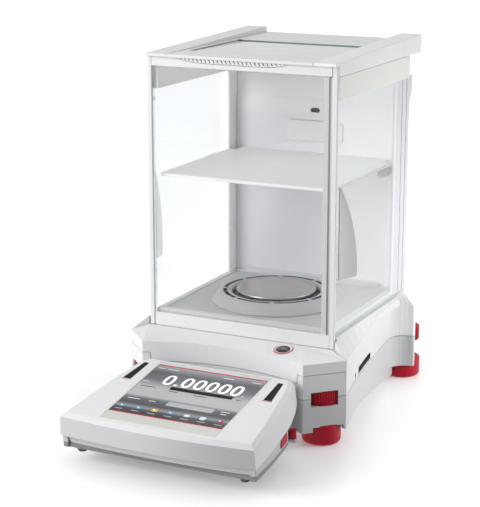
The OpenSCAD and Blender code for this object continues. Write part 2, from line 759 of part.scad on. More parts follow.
// Back wall of the chamber: a plate with a raised lower field that slopes back at its top
module chamber_back() color(white) {
    x = column_in - seat;
    step_z = rail_z - 57.5;
    difference() {
        side_prism([[back_y, tray_z], [back_y + 5, tray_z], [back_y + 5, rail_z], [back_y + 2.5, rail_z],
            [back_y + 2.5, step_z + 9], [back_y, step_z]], -x, x);
        both_sides() box([head_x - 0.2, back_y - 1, hanger_z - 1], [shield_x, back_y + 6, rail_z + 1]);
        wall_cover_shape(0.2, 2);
        translate([0, back_y + 3, step_z - 3]) rotate([90, 0, 0]) oval(9.8, 4.4, 8);
        both_sides() translate([column_in - 9, back_y + 6, shelf_low() - 7]) rotate([90, 0, 0])
            cylinder(r = 2.5 + run_fit, h = 10);
    }
}

function shelf_low() = tray_z + shelf_z - shelf_t;

module oval(w, h, d) {
    linear_extrude(d) {
        translate([-(w - h) / 2, 0]) circle(r = h / 2);
        translate([(w - h) / 2, 0]) circle(r = h / 2);
        square([w - h, h], center = true);
    }
}

module wall_cover_shape(e, d) {
    z0 = rail_z - 93.5;
    front_prism(rounded([[-31 - e, z0 - e], [31 + e, z0 - e], [31 + e, z0 + 22 + e], [-31 - e, z0 + 22 + e]],
        [5, 5, 5, 5]), back_y - 1.2, back_y - 1.2 + d);
}

module wall_cover() color(cream) {
    wall_cover_shape(0, 2);
}

module ion_nozzle() color(dark) {
    translate([0, back_y + 2.4, rail_z - 60.5]) rotate([90, 0, 0]) difference() {
        oval(9.4, 4, 3.4);
        translate([0, 0, 1.5]) oval(7.4, 2, 3);
    }
}

// Tower behind the chamber: two side walls, a rear wall and a deeper head
module rear_tower() color(white) {
    head_z = rail_z - 51;
    wide_top = hanger_z - 0.5;
    difference() {
        union() {
            both_sides() box([column_in, column_y, tray_z], [column_x, tower_y, wide_top]);
            both_sides() box([head_in, back_y + 5 + seat, wide_top - 1], [head_x, tower_y, rail_z]);
            box([-column_in - 1, tower_y - 5, tray_z], [column_in + 1, tower_y, wide_top]);
            box([-head_x, tower_y - 5, wide_top - 1], [head_x, tower_y, rail_z]);
            side_prism([[tower_y - 5, head_z], [tower_y, head_z], [tower_y + 7, head_z + 13],
                [tower_y + 7, wide_top], [tower_y - 5, wide_top]], -column_x, column_x);
            side_prism([[tower_y - 5, wide_top - 1], [tower_y + 7, wide_top - 1], [tower_y + 7, rail_z],
                [tower_y - 5, rail_z]], -head_x, head_x);
            box([-ledge_x + 0.4, tower_y - 5, rail_z - 1], [ledge_x - 0.4, tower_y + 7, ledge_z - 0.2]);
        }
        for (y = [12, 24]) both_sides() box([column_x - 0.8, back_y + y - 8, tray_z - 1],
            [column_x + 1, back_y + y - 6.8, wide_top + 1]);
    }
}

module front_post_right() color(white) {
    box([post_x, shield_y, deck_z + seat], [shield_x, post_y, plate_z]);
}

module front_post_left() color(white) {
    mirror([1, 0, 0]) box([post_x, shield_y, deck_z + seat], [shield_x, post_y, plate_z]);
}

// Front frame: the apron on the deck, the stile right of the glass and the web of the channel beside it
module front_frame() color(white) {
    z0 = deck_z + seat;
    y1 = post_y + 0.2;
    box([-post_x + 0.3, frame_y, z0], [post_x - 0.3, y1, sill_z]);
    box([stile_in, frame_y, sill_z - 0.01], [stile_out, y1, rail_z]);
    box([stile_out - 0.01, y1 - 0.8, sill_z - 0.01], [post_x - 0.3, y1, rail_z]);
}

module front_glass() color(clear) {
    y0 = frame_y + 1.4;
    box([-post_x + 0.4, y0, sill_z], [stile_in - seat, y0 + glass_t, rail_z - slide_gap]);
}

// Rail along one upper edge: a wedge with a T-slot for the side door and a ledge for the top door
module rail() {
    inner = post_y + 0.2;
    difference() {
        union() {
            side_prism([[inner, rail_z], [rail_rear, rail_z], [rail_rear, top_z + rail_rise], [rail_y, top_z],
                [rail_y, plate_z], [inner, plate_z]], rail_x, shield_x);
            box([ledge_x, inner + 1, rail_z], [rail_x + 0.01, rail_rear, ledge_z]);
        }
        box([slot_x - slot_neck, inner + 2, rail_z - 1],
            [slot_x + slot_neck, rail_rear + 1, rail_z + slot_lip + 0.1]);
        box([slot_x - slot_head, inner + 2, rail_z + slot_lip], [slot_x + slot_head, rail_rear + 1,
            rail_z + slot_lip + slot_h]);
        box([shield_x - 0.3, rail_rear - 51, rail_z - 1],
            [shield_x + 1, rail_rear - 50.6, top_z + rail_rise + 1]);
    }
}

module top_rail_right() color(white) {
    rail();
}

module top_rail_left() color(white) {
    mirror([1, 0, 0]) rail();
}

// Depth of the grip at the share u of its half width, and its outline grown by e
function grip_depth(u) = grip_h * (1 - pow(abs(u), 5));
function grip_outline(e) =
    let (half = grip_half + e)
    concat([for (i = [-14:14]) let (u = i / 14)
        [grip_x + half * u, plate_z - grip_depth(u) - (abs(i) < 14 ? e : 0)]],
        [[grip_x + half, plate_z + 1], [grip_x - half, plate_z + 1]]);

// Header under the top plate, notched for the grip of the top door
module top_header() color(white) {
    difference() {
        box([-post_x + 0.3, shield_y, rail_z + 0.5], [post_x - 0.3, post_y, plate_z - slide_gap]);
        front_prism(grip_outline(0.6), shield_y - 1, post_y + 1);
    }
}

// Sliding top door: plate, window frame and ribbed grip
module top_door_frame() color(white) {
    x = rail_x - 0.4;
    y1 = sky_y + sky_l;
    difference() {
        union() {
            box([-x, rail_y, plate_z], [x, rail_rear, top_z]);
            box([-x, sky_y - 5, ledge_z + slide_gap], [x, y1 + 5, plate_z + 0.5]);
            front_prism(grip_outline(0), shield_y - 1.2, post_y - 0.8);
        }
        box([-sky_half, sky_y, sky_z - seat], [sky_half, y1, top_z + 1]);
        box([-sky_half + 2.5, sky_y + 2.5, ledge_z - 1], [sky_half - 2.5, y1 - 2.5, top_z]);
        for (k = [0:grip_ribs - 1]) grip_slit((2 * k - grip_ribs + 1) / (grip_ribs + 1.5));
    }
}

// One slanted slit of the grip, at the share u of its half width
module grip_slit(u) {
    x = grip_x + grip_half * u - 0.9;
    z0 = plate_z - grip_depth(u) + 0.7;
    front_prism([[x - 0.6, plate_z - 0.3], [x + 0.9, z0], [x + 2.1, z0], [x + 0.6, plate_z - 0.3]],
        shield_y - 2, shield_y + 0.4);
}

module top_door_glass() color(clear) {
    box([-sky_half + seat, sky_y + seat, sky_z], [sky_half - seat, sky_y + sky_l - seat, sky_z + glass_t]);
}

module door_glass() {
    box([glass_in, door_y, tray_z + 1.5], [glass_out, column_y + 3, hanger_z + 11]);
}

// Hanger of a side door: a band over the glass with a T-head in the rail
module door_hanger() {
    y1 = door_y + hanger_l;
    difference() {
        union() {
            box([hanger_in, door_y, hanger_z], [shield_x, y1, hanger_top]);
            box([slot_x - slot_neck + 0.4, door_y + 3, hanger_top - 0.01],
                [slot_x + slot_neck - 0.4, y1, rail_z + slot_lip + slide_gap + 0.1]);
            box([slot_x - slot_head + 0.4, door_y + 3, rail_z + slot_lip + slide_gap],
                [slot_x + slot_head - 0.4, y1, rail_z + slot_lip + slot_h - 0.5]);
        }
        box([glass_in - 0.1, door_y - 1, hanger_z - 1], [glass_out + 0.1, column_y + 3.1, hanger_z + 11.1]);
        box([hanger_in - 1, door_y - 1, hanger_z - 1], [post_x + 0.3, block_y, hanger_top + 1]);
    }
}

// Door handle: a fin with a rounded front and a hollow rear, narrowing to a point at its top
module door_handle() {
    x0 = glass_out + 0.05;
    y0 = door_y + 7;
    z0 = tray_z + handle_z;
    crest = handle_w * 0.67;
    plan = concat(
        [for (i = [0:8]) [x0 + handle_t * sin(11.25 * i), y0 + crest * (1 - cos(11.25 * i))]],
        [for (i = [1:6]) let (a = 15 * i)
            [x0 + handle_t * (1 - sin(a)), y0 + handle_w - (handle_w - crest) * cos(a)]]);
    sail = concat(
        [for (i = [0:14]) let (t = i / 14) [y0 + handle_w * pow(1 - t * t, 2.6), z0 + handle_h * t]],
        [[y0 - 1, z0 + handle_h], [y0 - 1, z0]]);
    intersection() {
        translate([0, 0, z0]) linear_extrude(handle_h) polygon(plan);
        side_prism(sail, x0 - 1, x0 + handle_t + 1);
    }
}

module left_door_glass() color(clear) {
    mirror([1, 0, 0]) door_glass();
}

module right_door_glass() color(clear) {
    door_glass();
}

module left_door_hanger() color(cream) {
    mirror([1, 0, 0]) door_hanger();
}

module right_door_hanger() color(cream) {
    door_hanger();
}

module left_door_handle() color(white) {
    mirror([1, 0, 0]) door_handle();
}

module right_door_handle() color(white) {
    door_handle();
}

// Shelf across the chamber, held by two lugs on the back wall
module shelf() color(cream) {
    x = column_x - 2.2;
    z0 = shelf_low();
    notch_x = column_in - 8.5;
    notch_y = column_y - 4;
    y0 = post_y + 7;
    difference() {
        union() {
            translate([0, 0, z0]) linear_extrude(shelf_t) polygon(rounded([[-x, y0], [x, y0], [x, notch_y],
                [notch_x, notch_y], [notch_x, back_y - 0.3], [-notch_x, back_y - 0.3],
                [-notch_x, notch_y], [-x, notch_y]], [3, 3, 0, 0, 0, 0, 0, 0]));
            both_sides() box([column_in - 17, back_y - 4.3, z0 - 14], [column_in - 1, back_y - 0.3, z0 + 0.01]);
        }
        both_sides() translate([column_in - 9, back_y + 1, z0 - 7]) rotate([90, 0, 0])
            cylinder(r = 2.5 + run_fit, h = 8);
    }
}

// Knurled knob whose shank passes through a shelf lug into the wall
module shelf_knob(side) color(steel) {
    flutes = 18;
    translate([side * (column_in - 9), back_y - 4.3 - slide_gap, shelf_low() - 7]) rotate([90, 0, 0]) {
        difference() {
            cylinder(r = knob_r, h = 13);
            for (k = [0:flutes - 1]) rotate([0, 0, 360 / flutes * k]) translate([knob_r + 0.3, 0, 3])
                cylinder(r = 0.7, h = 11, $fn = 16);
        }
        translate([0, 0, -9.5]) cylinder(r = 2.5, h = 9.6);
    }
}

// Space under the terminal's upper shell, in the Y-Z plane of its own frame, lowered by gap
function term_under(gap) =
    let (fall = (term_deep - term_t) / (term_l + term_bow - 34))
    [[-term_l - 40, -term_t + fall * (40 - term_bow) - gap], [-34, -term_deep - gap], [-13, -term_deep + 2.5 - gap],
     [2, -term_t - 1 - gap], [30, -term_t - 1 - gap], [30, -90], [-term_l - 40, -90]];

// Upper shell of the terminal, its top rolled over at the edges
module terminal_top() color(white) {
    term_frame() difference() {
        loft([at_z(term_outline(-term_draft), -term_deep - 2), at_z(term_outline(), -7),
            at_z(term_outline(0.9), -4.2), at_z(term_outline(2.6), -2), at_z(term_outline(4.9), -0.6),
            at_z(term_outline(7.5), 0)]);
        side_prism(term_under(0), -term_w, term_w);
        box([-screen_half - 14, -term_l + 8, -term_deep - 3], [screen_half + 14, -9, -6]);
        box([-screen_half - 1.2, -term_l + 5, -0.8], [screen_half + 1.2, -8, 1]);
        box([-screen_half - 0.2, screen_y - screen_l - 0.2, -3], [screen_half + 0.2, screen_y + 0.2, 1]);
        both_sides() translate([0, 0, -1.4]) linear_extrude(3) polygon(sensor_outline(0.1));
    }
}

// Outline of the right touch-free sensor, grown by e
function sensor_outline(e) =
    [[screen_half + 10.5 - e, -14.5 + e], [screen_half + 11.3 - e, -49 - e], [screen_half + 19.5 + e, -49 - e],
     [screen_half + 15.5 + e, -14.5 + e]];

module terminal_overlay() color([0.82, 0.82, 0.79]) {
    term_frame() difference() {
        box([-screen_half - 1.1, -term_l + 5.1, -0.8], [screen_half + 1.1, -8.1, 0]);
        box([-screen_half - 0.1, screen_y - screen_l - 0.1, -2], [screen_half + 0.1, screen_y + 0.1, 1]);
    }
}

module display_panel() color(dark) {
    term_frame() box([-screen_half, screen_y - screen_l, -3], [screen_half, screen_y, -0.2]);
}

module sensor_windows() color(dark) {
    term_frame() both_sides() translate([0, 0, -1.4]) linear_extrude(1.5) polygon(sensor_outline(0));
}

// Lower shell: its underside falls to the front, where a recess leaves a narrow band
module terminal_bottom() color([0.80, 0.80, 0.81]) {
    front = term_y - term_l + 8;
    difference() {
        intersection() {
            term_frame() translate([0, 0, -80]) linear_extrude(80) polygon(term_outline(0.3));
            term_frame() side_prism(term_under(slide_gap), -term_w, term_w);
            side_prism([[front - 40, term_low - term_fall], [term_cut, term_low], [term_cut, 100], [front - 40, 100]],
                -term_w, term_w);
        }
        box([-term_half + 6, front - 60, 0], [term_half - 6, front, term_low - term_fall + term_recess]);
        difference() {
            term_frame() box([-term_half + 6, -term_l - 12, -60], [term_half - 6, -term_l + 10, 0]);
            term_frame() translate([0, 0, -80]) linear_extrude(80) polygon(term_outline(2));
        }
        box([-term_half + 24, term_cut - 78, term_low + shell_t], [term_half - 24, term_cut - 3, 100]);
        both_sides() box([term_rear - 5, button_y - 0.4, button_z - 0.4],
            [term_w, button_y + button_l + 0.4, button_z + button_h + 0.4]);
        terminal_foot_sites() translate([0, 0, term_low - 10]) cylinder(r = 5, h = 10.5);
    }
}

module terminal_foot_sites() {
    for (x = [-1, 1], s = [[term_half - 15, term_y - term_l + 16], [term_rear - 18, term_cut - 12]])
        translate([x * s[0], s[1], 0]) children();
}

// Release button in the terminal's flank
module release_button() {
    intersection() {
        term_frame() translate([0, 0, -80]) linear_extrude(80) polygon(term_outline(-0.4));
        box([term_rear - 4.7 + button_travel, button_y, button_z],
            [term_w, button_y + button_l, button_z + button_h]);
    }
}

module release_button_left() color(red) {
    mirror([1, 0, 0]) release_button();
}

module release_button_right() color(red) {
    release_button();
}

module terminal_board() color([0.15, 0.36, 0.22]) {
    term_frame() {
        box([-screen_half, screen_y - screen_l, -14], [screen_half, screen_y - 4, -12.4]);
        for (x = [-45, 45], y = [-25, -95]) translate([x, y, -12.5]) cylinder(r = 2.5, h = 6.5);
        for (k = [0:3]) box([-40 + 22 * k, -70, -16.5], [-26 + 22 * k, -52, -13.99]);
    }
}

// Bracket that carries the terminal on the base
module terminal_bracket() color(grey) {
    low = floor_z - 6;
    y1 = term_y + 0.5;
    difference() {
        union() {
            intersection() {
                box([-term_rear + 5, term_cut + 0.5, low], [term_rear - 5, y1, 100]);
                term_frame() side_prism(term_under(seat), -term_w, term_w);
            }
            both_sides() box([term_rear - 6, term_cut + 26, low], [term_rear - 1, y1, low + 3]);
            both_sides() translate([term_rear - 1, term_y - 4, low]) cylinder(r = 3.6, h = 3);
            box([-45, y1 - 1, low], [45, y1 + 12, low + 6]);
            box([-45, y1 + 11, floor_z - 3], [45, shield_y + 8, floor_z]);
        }
        box([-term_rear + 9, term_cut + 4, low + 3], [term_rear - 9, y1 - 4, 100]);
        for (x = [-30, 30]) translate([x, shield_y - 4, floor_z - 10]) cylinder(r = 1.7, h = 12);
    }
}

// Thumb screws at both sides of the bracket
module bracket_screws() color(red) {
    ribs = 10;
    both_sides() translate([term_rear - 1, term_y - 4, floor_z - 3]) {
        linear_extrude(9) polygon([for (k = [0:2 * ribs - 1]) (k % 2 == 0 ? 3.3 : 2.9)
            * [cos(180 * k / ribs), sin(180 * k / ribs)]]);
    }
}

module terminal_feet() color(dark) {
    h = term_fall + 4;
    terminal_foot_sites() translate([0, 0, term_low + 0.3 - h])
        rotate_extrude() polygon([[0, 0], [3.6, 0], [4.4, 0.8], [4.8, 3], [4.8, h], [0, h]]);
}

lower_housing();
upper_housing();
front_cover();
level_bezel();
level_vial();
thumbwheel(0);  // thumbwheel_front_left
thumbwheel(1);  // thumbwheel_front_right
thumbwheel(2);  // thumbwheel_rear_left
thumbwheel(3);  // thumbwheel_rear_right
foot(0);  // foot_front_left
foot(1);  // foot_front_right
foot(2);  // foot_rear_left
foot(3);  // foot_rear_right
slot_liner();
rear_sockets();
power_inlet();
weigh_cell();
weigh_lever();
coil_magnet();
cal_motor();
cal_screw();
cal_weight();
mainboard();
pan_support();
weighing_pan();
draft_ring();
floor_plate();
chamber_back();
rear_tower();
wall_cover();
ion_nozzle();
front_post_left();
front_post_right();
front_frame();
front_glass();
top_rail_left();
top_rail_right();
top_header();
top_door_frame();
top_door_glass();
left_door_glass();
left_door_hanger();
left_door_handle();
right_door_glass();
right_door_hanger();
right_door_handle();
shelf();
shelf_knob(-1);  // shelf_knob_left
shelf_knob(1);  // shelf_knob_right
terminal_top();
terminal_bottom();
terminal_overlay();
display_panel();
sensor_windows();
release_button_left();
release_button_right();
terminal_board();
terminal_bracket();
terminal_feet();
bracket_screws();
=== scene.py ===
import json
import math
import bmesh
import bpy
import numpy as np
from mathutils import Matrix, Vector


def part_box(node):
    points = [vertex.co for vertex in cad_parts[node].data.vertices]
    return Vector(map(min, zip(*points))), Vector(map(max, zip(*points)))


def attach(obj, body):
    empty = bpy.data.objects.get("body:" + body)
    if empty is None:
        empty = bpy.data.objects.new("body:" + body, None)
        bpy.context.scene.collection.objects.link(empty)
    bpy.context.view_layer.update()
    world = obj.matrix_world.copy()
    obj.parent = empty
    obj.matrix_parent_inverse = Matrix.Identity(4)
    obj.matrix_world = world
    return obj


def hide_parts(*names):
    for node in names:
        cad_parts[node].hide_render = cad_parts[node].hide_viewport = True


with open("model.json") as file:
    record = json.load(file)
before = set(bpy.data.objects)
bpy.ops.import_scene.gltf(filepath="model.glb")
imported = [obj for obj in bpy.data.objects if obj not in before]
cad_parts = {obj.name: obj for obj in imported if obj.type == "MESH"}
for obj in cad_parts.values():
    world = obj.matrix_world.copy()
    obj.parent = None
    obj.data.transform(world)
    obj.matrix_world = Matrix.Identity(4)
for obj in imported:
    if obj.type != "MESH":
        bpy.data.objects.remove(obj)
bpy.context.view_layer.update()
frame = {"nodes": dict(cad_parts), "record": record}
nodes = frame["nodes"]
record = frame["record"]
bodyOf = {n: b for b, group in record["behaviour"]["bodies"].items() for n in group}
slotOf = {s["node"]: s["material_slot"] for s in record["subparts"]}
mm = 0.001
print("frame loaded:", len(nodes), "nodes")


# a shader socket that takes part in plain sums, and makes every other node
class Wire:
    def __init__(self, tree, socket=None):
        self.tree = tree
        self.socket = socket

    def make(self, kind, settings=None, sockets=None, out=0):
        node = self.tree.nodes.new(kind)
        for key, value in (settings or {}).items():
            if key == "stops":
                elements = node.color_ramp.elements
                while len(elements) < len(value):
                    elements.new(0.5)
                for element, (place, colour) in zip(elements, value):
                    element.position = place
                    element.color = rgba(colour)
            else:
                setattr(node, key, value)
        for key, value in (sockets or {}).items():
            if isinstance(value, Wire):
                self.tree.links.new(value.socket, node.inputs[key])
            else:
                node.inputs[key].default_value = value
        return Wire(self.tree, node.outputs[out] if len(node.outputs) else None)

    def other(self, out):  # another output of the same node
        return Wire(self.tree, self.socket.node.outputs[out])

    def sum(self, operation, left, right=0.0):
        return self.make("ShaderNodeMath", {"operation": operation}, {0: left, 1: right})

    def __add__(self, other):
        return self.sum("ADD", self, other)

    def __sub__(self, other):
        return self.sum("SUBTRACT", self, other)

    def __rsub__(self, other):
        return self.sum("SUBTRACT", other, self)

    def __mul__(self, other):
        return self.sum("MULTIPLY", self, other)

    def __lt__(self, other):
        return self.sum("LESS_THAN", self, other)

    def __gt__(self, other):
        return self.sum("GREATER_THAN", self, other)

    __radd__ = __add__
    __rmul__ = __mul__

    def blend(self, first, second):  # self is the factor between two colours, the node's sockets 6 and 7
        return self.make("ShaderNodeMix", {"data_type": "RGBA"}, {0: self, 6: first, 7: second}, out=2)

    def step(self, low, high):  # 0 below low, 1 above high, smooth between
        return self.make("ShaderNodeMapRange", {"interpolation_type": "SMOOTHSTEP"}, {0: self, 1: low, 2: high})


def rgba(colour):
    return (*[float(c) for c in colour], 1.0)


def newMaterial(name):
    material = bpy.data.materials.new(name)
    material.use_nodes = True
    material.node_tree.nodes.clear()
    return material, Wire(material.node_tree)


def toSurface(wire, shader):
    wire.make("ShaderNodeOutputMaterial", {}, {"Surface": shader})


def objectPlace(wire, turn=(0, 0, 0), move=(0, 0, 0), scale=(1, 1, 1)):
    coords = wire.make("ShaderNodeTexCoord", out="Object")
    return wire.make("ShaderNodeMapping", {}, {"Vector": coords, "Rotation": turn, "Location": move, "Scale": scale})


def noise(wire, coords, scale, detail=2.0, rough=0.5):
    return wire.make("ShaderNodeTexNoise", {}, {"Vector": coords, "Scale": scale, "Detail": detail,
                                                "Roughness": rough})


def around(wave, middle, spread):  # a noise from 0 to 1, made to swing about a middle value
    return wave * spread + (middle - spread / 2)


# spark-eroded moulding: cloudy colour, fine grain in roughness and bump, edges softened by the bevel node
moulding = dict(cloudScale=16.0, cloudShare=0.7, grainDetail=3.0, grainRough=0.6, roughSpread=0.16, depth=0.2,
                bevelSamples=4, milkySpread=0.1)


def mouldedPlastic(name, spec):
    material, wire = newMaterial(name)
    coords = objectPlace(wire)
    cloud = noise(wire, coords, moulding["cloudScale"])
    grain = noise(wire, coords, spec["grainScale"], moulding["grainDetail"], moulding["grainRough"])
    colour = np.array(spec["colour"])
    mottle = cloud * moulding["cloudShare"] + grain * (1 - moulding["cloudShare"])
    shade = mottle.blend(rgba(colour * (1 - spec["vary"])), rgba(np.minimum(colour * (1 + spec["vary"]), 1)))
    for where, tone in spec.get("patches", []):  # parts of the piece painted in another tone, as painted light or shade
        shade = where(wire.make("ShaderNodeSeparateXYZ", {}, {0: coords})).blend(shade, rgba(tone))
    sockets = {"Strength": spec["bump"], "Distance": moulding["depth"] * mm, "Height": grain}
    if spec.get("edge"):
        sockets["Normal"] = wire.make("ShaderNodeBevel", {"samples": moulding["bevelSamples"]},
                                      {"Radius": spec["edge"] * mm})
    normal = wire.make("ShaderNodeBump", {}, sockets)
    shader = wire.make("ShaderNodeBsdfPrincipled", {}, {
        "Base Color": shade, "Roughness": around(grain, spec["rough"], moulding["roughSpread"]), "Normal": normal,
        "Specular IOR Level": spec.get("specular", 0.5)})
    if "milky" in spec:  # thin milky plastic lets light through from behind
        through = wire.make("ShaderNodeBsdfTranslucent", {}, {"Color": rgba(colour), "Normal": normal})
        share = around(cloud, spec["milky"], moulding["milkySpread"])
        shader = wire.make("ShaderNodeMixShader", {}, {0: share, 1: shader, 2: through})
    toSurface(wire, shader)
    return material


# drawn or turned metal: noise squeezed across the brushing, in colour, roughness and bump
brushing = dict(streakDetail=4.0, streakRough=0.65, streakShare=0.7, cloudScale=30.0, darkest=0.9, lightest=1.06,
                roughSpread=0.2, depth=0.1)


def brushedMetal(name, spec):
    material, wire = newMaterial(name)
    streak = noise(wire, objectPlace(wire, scale=spec["stretch"]), spec["streakScale"], brushing["streakDetail"],
                   brushing["streakRough"])
    cloud = noise(wire, objectPlace(wire), brushing["cloudScale"])
    colour = np.array(spec["colour"])
    mottle = streak * brushing["streakShare"] + cloud * (1 - brushing["streakShare"])
    shade = mottle.blend(rgba(colour * brushing["darkest"]), rgba(np.minimum(colour * brushing["lightest"], 1)))
    normal = wire.make("ShaderNodeBump", {}, {"Strength": spec["bump"], "Distance": brushing["depth"] * mm,
                                              "Height": streak})
    shader = wire.make("ShaderNodeBsdfPrincipled", {}, {
        "Base Color": shade, "Metallic": 1.0, "Roughness": around(streak, spec["rough"], brushing["roughSpread"]),
        "Normal": normal})
    toSurface(wire, shader)
    return material


# round level: colours by the distance from the level's upright axis, with cloudy streaks in the dark disc
def ringedLevel(name, spec):
    material, wire = newMaterial(name)
    x, y = spec["axis"]
    across = wire.make("ShaderNodeSeparateXYZ", {}, {0: objectPlace(wire, move=(-x * mm, -y * mm, 0))})
    distance = wire.sum("SQRT", across * across + across.other(1) * across.other(1))
    radius = distance * (1 / (spec["outer"] * mm))
    rings = wire.make("ShaderNodeValToRGB", {"stops": spec["rings"]}, {0: radius})
    streak = noise(wire, objectPlace(wire, turn=(0, 0, spec["turn"]), scale=spec["stretch"]), spec["streakScale"])
    streaked = streak.step(*spec["streakFrom"]) * (distance < spec["disc"] * mm) * spec["streakShare"]
    shader = wire.make("ShaderNodeBsdfPrincipled", {}, {
        "Base Color": streaked.blend(rings, rgba(spec["streak"])),
        "Roughness": around(streak, spec["rough"], spec["roughSpread"]), "Specular IOR Level": spec["specular"]})
    toSurface(wire, shader)
    return material


# clear pane: see-through with a fresnel gloss, tinted along its cut edges
def clearPane(name, spec):
    material, wire = newMaterial(name)
    coords = objectPlace(wire)
    smear = noise(wire, coords, spec["smearScale"], spec["smearDetail"])
    low, high = spec["box"]
    axes = wire.make("ShaderNodeSeparateXYZ", {}, {0: coords})
    edge = 0.0
    for i in spec["edgeAxes"]:
        part = axes.other(i)
        edge = (part < low[i] + spec["edge"] * mm) + (part > high[i] - spec["edge"] * mm) + edge
    gloss = wire.make("ShaderNodeBsdfGlossy", {}, {"Color": rgba(spec["shine"]), "Roughness": spec["rough"]})
    through = wire.make("ShaderNodeBsdfTransparent", {}, {"Color": rgba(spec["tint"])})
    fresnel = wire.make("ShaderNodeFresnel", {}, {"IOR": spec["index"]}) * (smear * spec["smear"] + spec["gloss"])
    pane = wire.make("ShaderNodeMixShader", {}, {0: fresnel, 1: through, 2: gloss})
    if "lipShade" in spec:  # painted shade: the frame's rim seen through the pane along its left and rear edges, drawn on the pane as a grey shaded strip
        left, rear = spec["lipShade"]
        lipShade = wire.sum("MAXIMUM", axes < low[0] + left * mm, axes.other(1) > high[1] - rear * mm)
        shade = wire.make("ShaderNodeBsdfTransparent", {}, {"Color": rgba(spec["lipShadeTint"])})
        pane = wire.make("ShaderNodeMixShader", {}, {0: lipShade, 1: pane, 2: shade})
    cut = wire.make("ShaderNodeBsdfTransparent", {}, {"Color": rgba(spec["cut"])})
    share = wire.sum("MINIMUM", edge, 1.0) * spec["cutShare"]
    toSurface(wire, wire.make("ShaderNodeMixShader", {}, {0: share, 1: pane, 2: cut}))
    return material


# where a piece changes its tone, as painted light or shade, from its own x, y, z; all sizes in mm
pocket = dict(x=80.0, y=(20.0, 73.0), z=(49.2, 56.6), depth=0.2, flank=(115.0, 28.0, 12.0), start=-37.3, run=185.5)
earLight = dict(x=(90.0, 100.0), y=(145.0, 170.0))
ring = dict(axis=(0.0, 55.2), slots=(49.2, 53.1), top=113.45, shadeUnderRing=57.5)
wall = dict(top=(260.0, 300.0), right=(-20.0, 50.0))
tower = dict(side=60.0, rear=1.0)
# the terminal front's painted shade, growing to the right, and the top of the painted shade band under the terminal
terminalFront = dict(fall=(-30.0, 85.0), least=0.5, growth=0.45, band=20.5)
doorSill = dict(low=100.5)
shelfEnd = dict(width=0.5)


def ramp(part, ends):
    return part.step(ends[0] * mm, ends[1] * mm)


def within(part, ends):
    return (part > ends[0] * mm) * (part < ends[1] * mm)


# inside of the pocket behind the right flank, painted dark as the shade in the opening; the flank's outline in plan is
# x = a - b s - c s (1 - s)
def inPocket(axes):
    a, b, c = pocket["flank"]
    s = (axes.other(1) * (1 / mm) - pocket["start"]) * (1 / pocket["run"])
    skin = (a - b * s - c * (s - s * s)) * mm
    return ((axes < skin - pocket["depth"] * mm) * (axes > pocket["x"] * mm)
            * within(axes.other(1), pocket["y"]) * within(axes.other(2), pocket["z"]))


def fromRingAxis(axes):  # squared distance from the upright axis of pan and ring
    across, along = axes - ring["axis"][0] * mm, axes.other(1) - ring["axis"][1] * mm
    return across * across + along * along


def inRingSlots(axes):
    away = fromRingAxis(axes)
    inner, outer = [(r * mm) ** 2 for r in ring["slots"]]
    return (away > inner) * (away < outer) * (axes.other(2) < ring["top"] * mm)


def onTowerSide(side):  # one side of the tower, but not its rear face
    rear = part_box("rear_tower")[1][1] - tower["rear"] * mm
    return lambda axes: (axes * side > tower["side"] * mm) * (axes.other(1) < rear)


def terminalFrontShade(axes):  # painted shade on the terminal's front: share set on the mesh by crispNormals, growing to the right
    share = axes.make("ShaderNodeAttribute", {"attribute_name": "front_share"}, out="Fac")
    return share * (ramp(axes, terminalFront["fall"]) * terminalFront["growth"] + terminalFront["least"])


# looks of the finishes, by the record's slot
finishes = {
    "shell_white": dict(colour=(0.77, 0.77, 0.78), vary=0.012, rough=0.42, grainScale=1400.0, bump=0.05, edge=0.7),
    "hanger_cream": dict(colour=(0.72, 0.72, 0.685), vary=0.015, rough=0.45, grainScale=1400.0, bump=0.05, edge=0.4),
    "red_plastic": dict(colour=(0.46, 0.006, 0.026), vary=0.06, rough=0.42, grainScale=1200.0, bump=0.06, edge=0.6,
                        specular=0.25),
    "dark_plastic": dict(colour=(0.014, 0.014, 0.016), vary=0.15, rough=0.32, grainScale=1500.0, bump=0.04),
    "foot_rubber": dict(colour=(0.030, 0.030, 0.031), vary=0.2, rough=0.75, grainScale=900.0, bump=0.2),
    "grey_plastic": dict(colour=(0.47, 0.475, 0.47), vary=0.015, rough=0.45, grainScale=1400.0, bump=0.06, edge=0.5),
    "circuit_board": dict(colour=(0.02, 0.13, 0.05), vary=0.2, rough=0.35, grainScale=700.0, bump=0.05),
    "screen_glass": dict(colour=(0.06, 0.065, 0.07), vary=0.05, rough=0.2, grainScale=1500.0, bump=0.01),
}
metals = {
    "pan_steel": dict(colour=(0.48, 0.455, 0.425), rough=0.30, stretch=(1, 30, 1), streakScale=40.0, bump=0.03),
    "knob_chrome": dict(colour=(0.15, 0.15, 0.155), rough=0.38, stretch=(1, 20, 1), streakScale=60.0, bump=0.02),
    "cell_aluminium": dict(colour=(0.70, 0.71, 0.72), rough=0.35, stretch=(12, 1, 1), streakScale=60.0, bump=0.05),
    "magnet_iron": dict(colour=(0.24, 0.24, 0.25), rough=0.45, stretch=(1, 1, 8), streakScale=70.0, bump=0.06),
}
white, cream, grey = finishes["shell_white"], finishes["hanger_cream"], finishes["grey_plastic"]
dark, rubber = finishes["dark_plastic"], finishes["foot_rubber"]
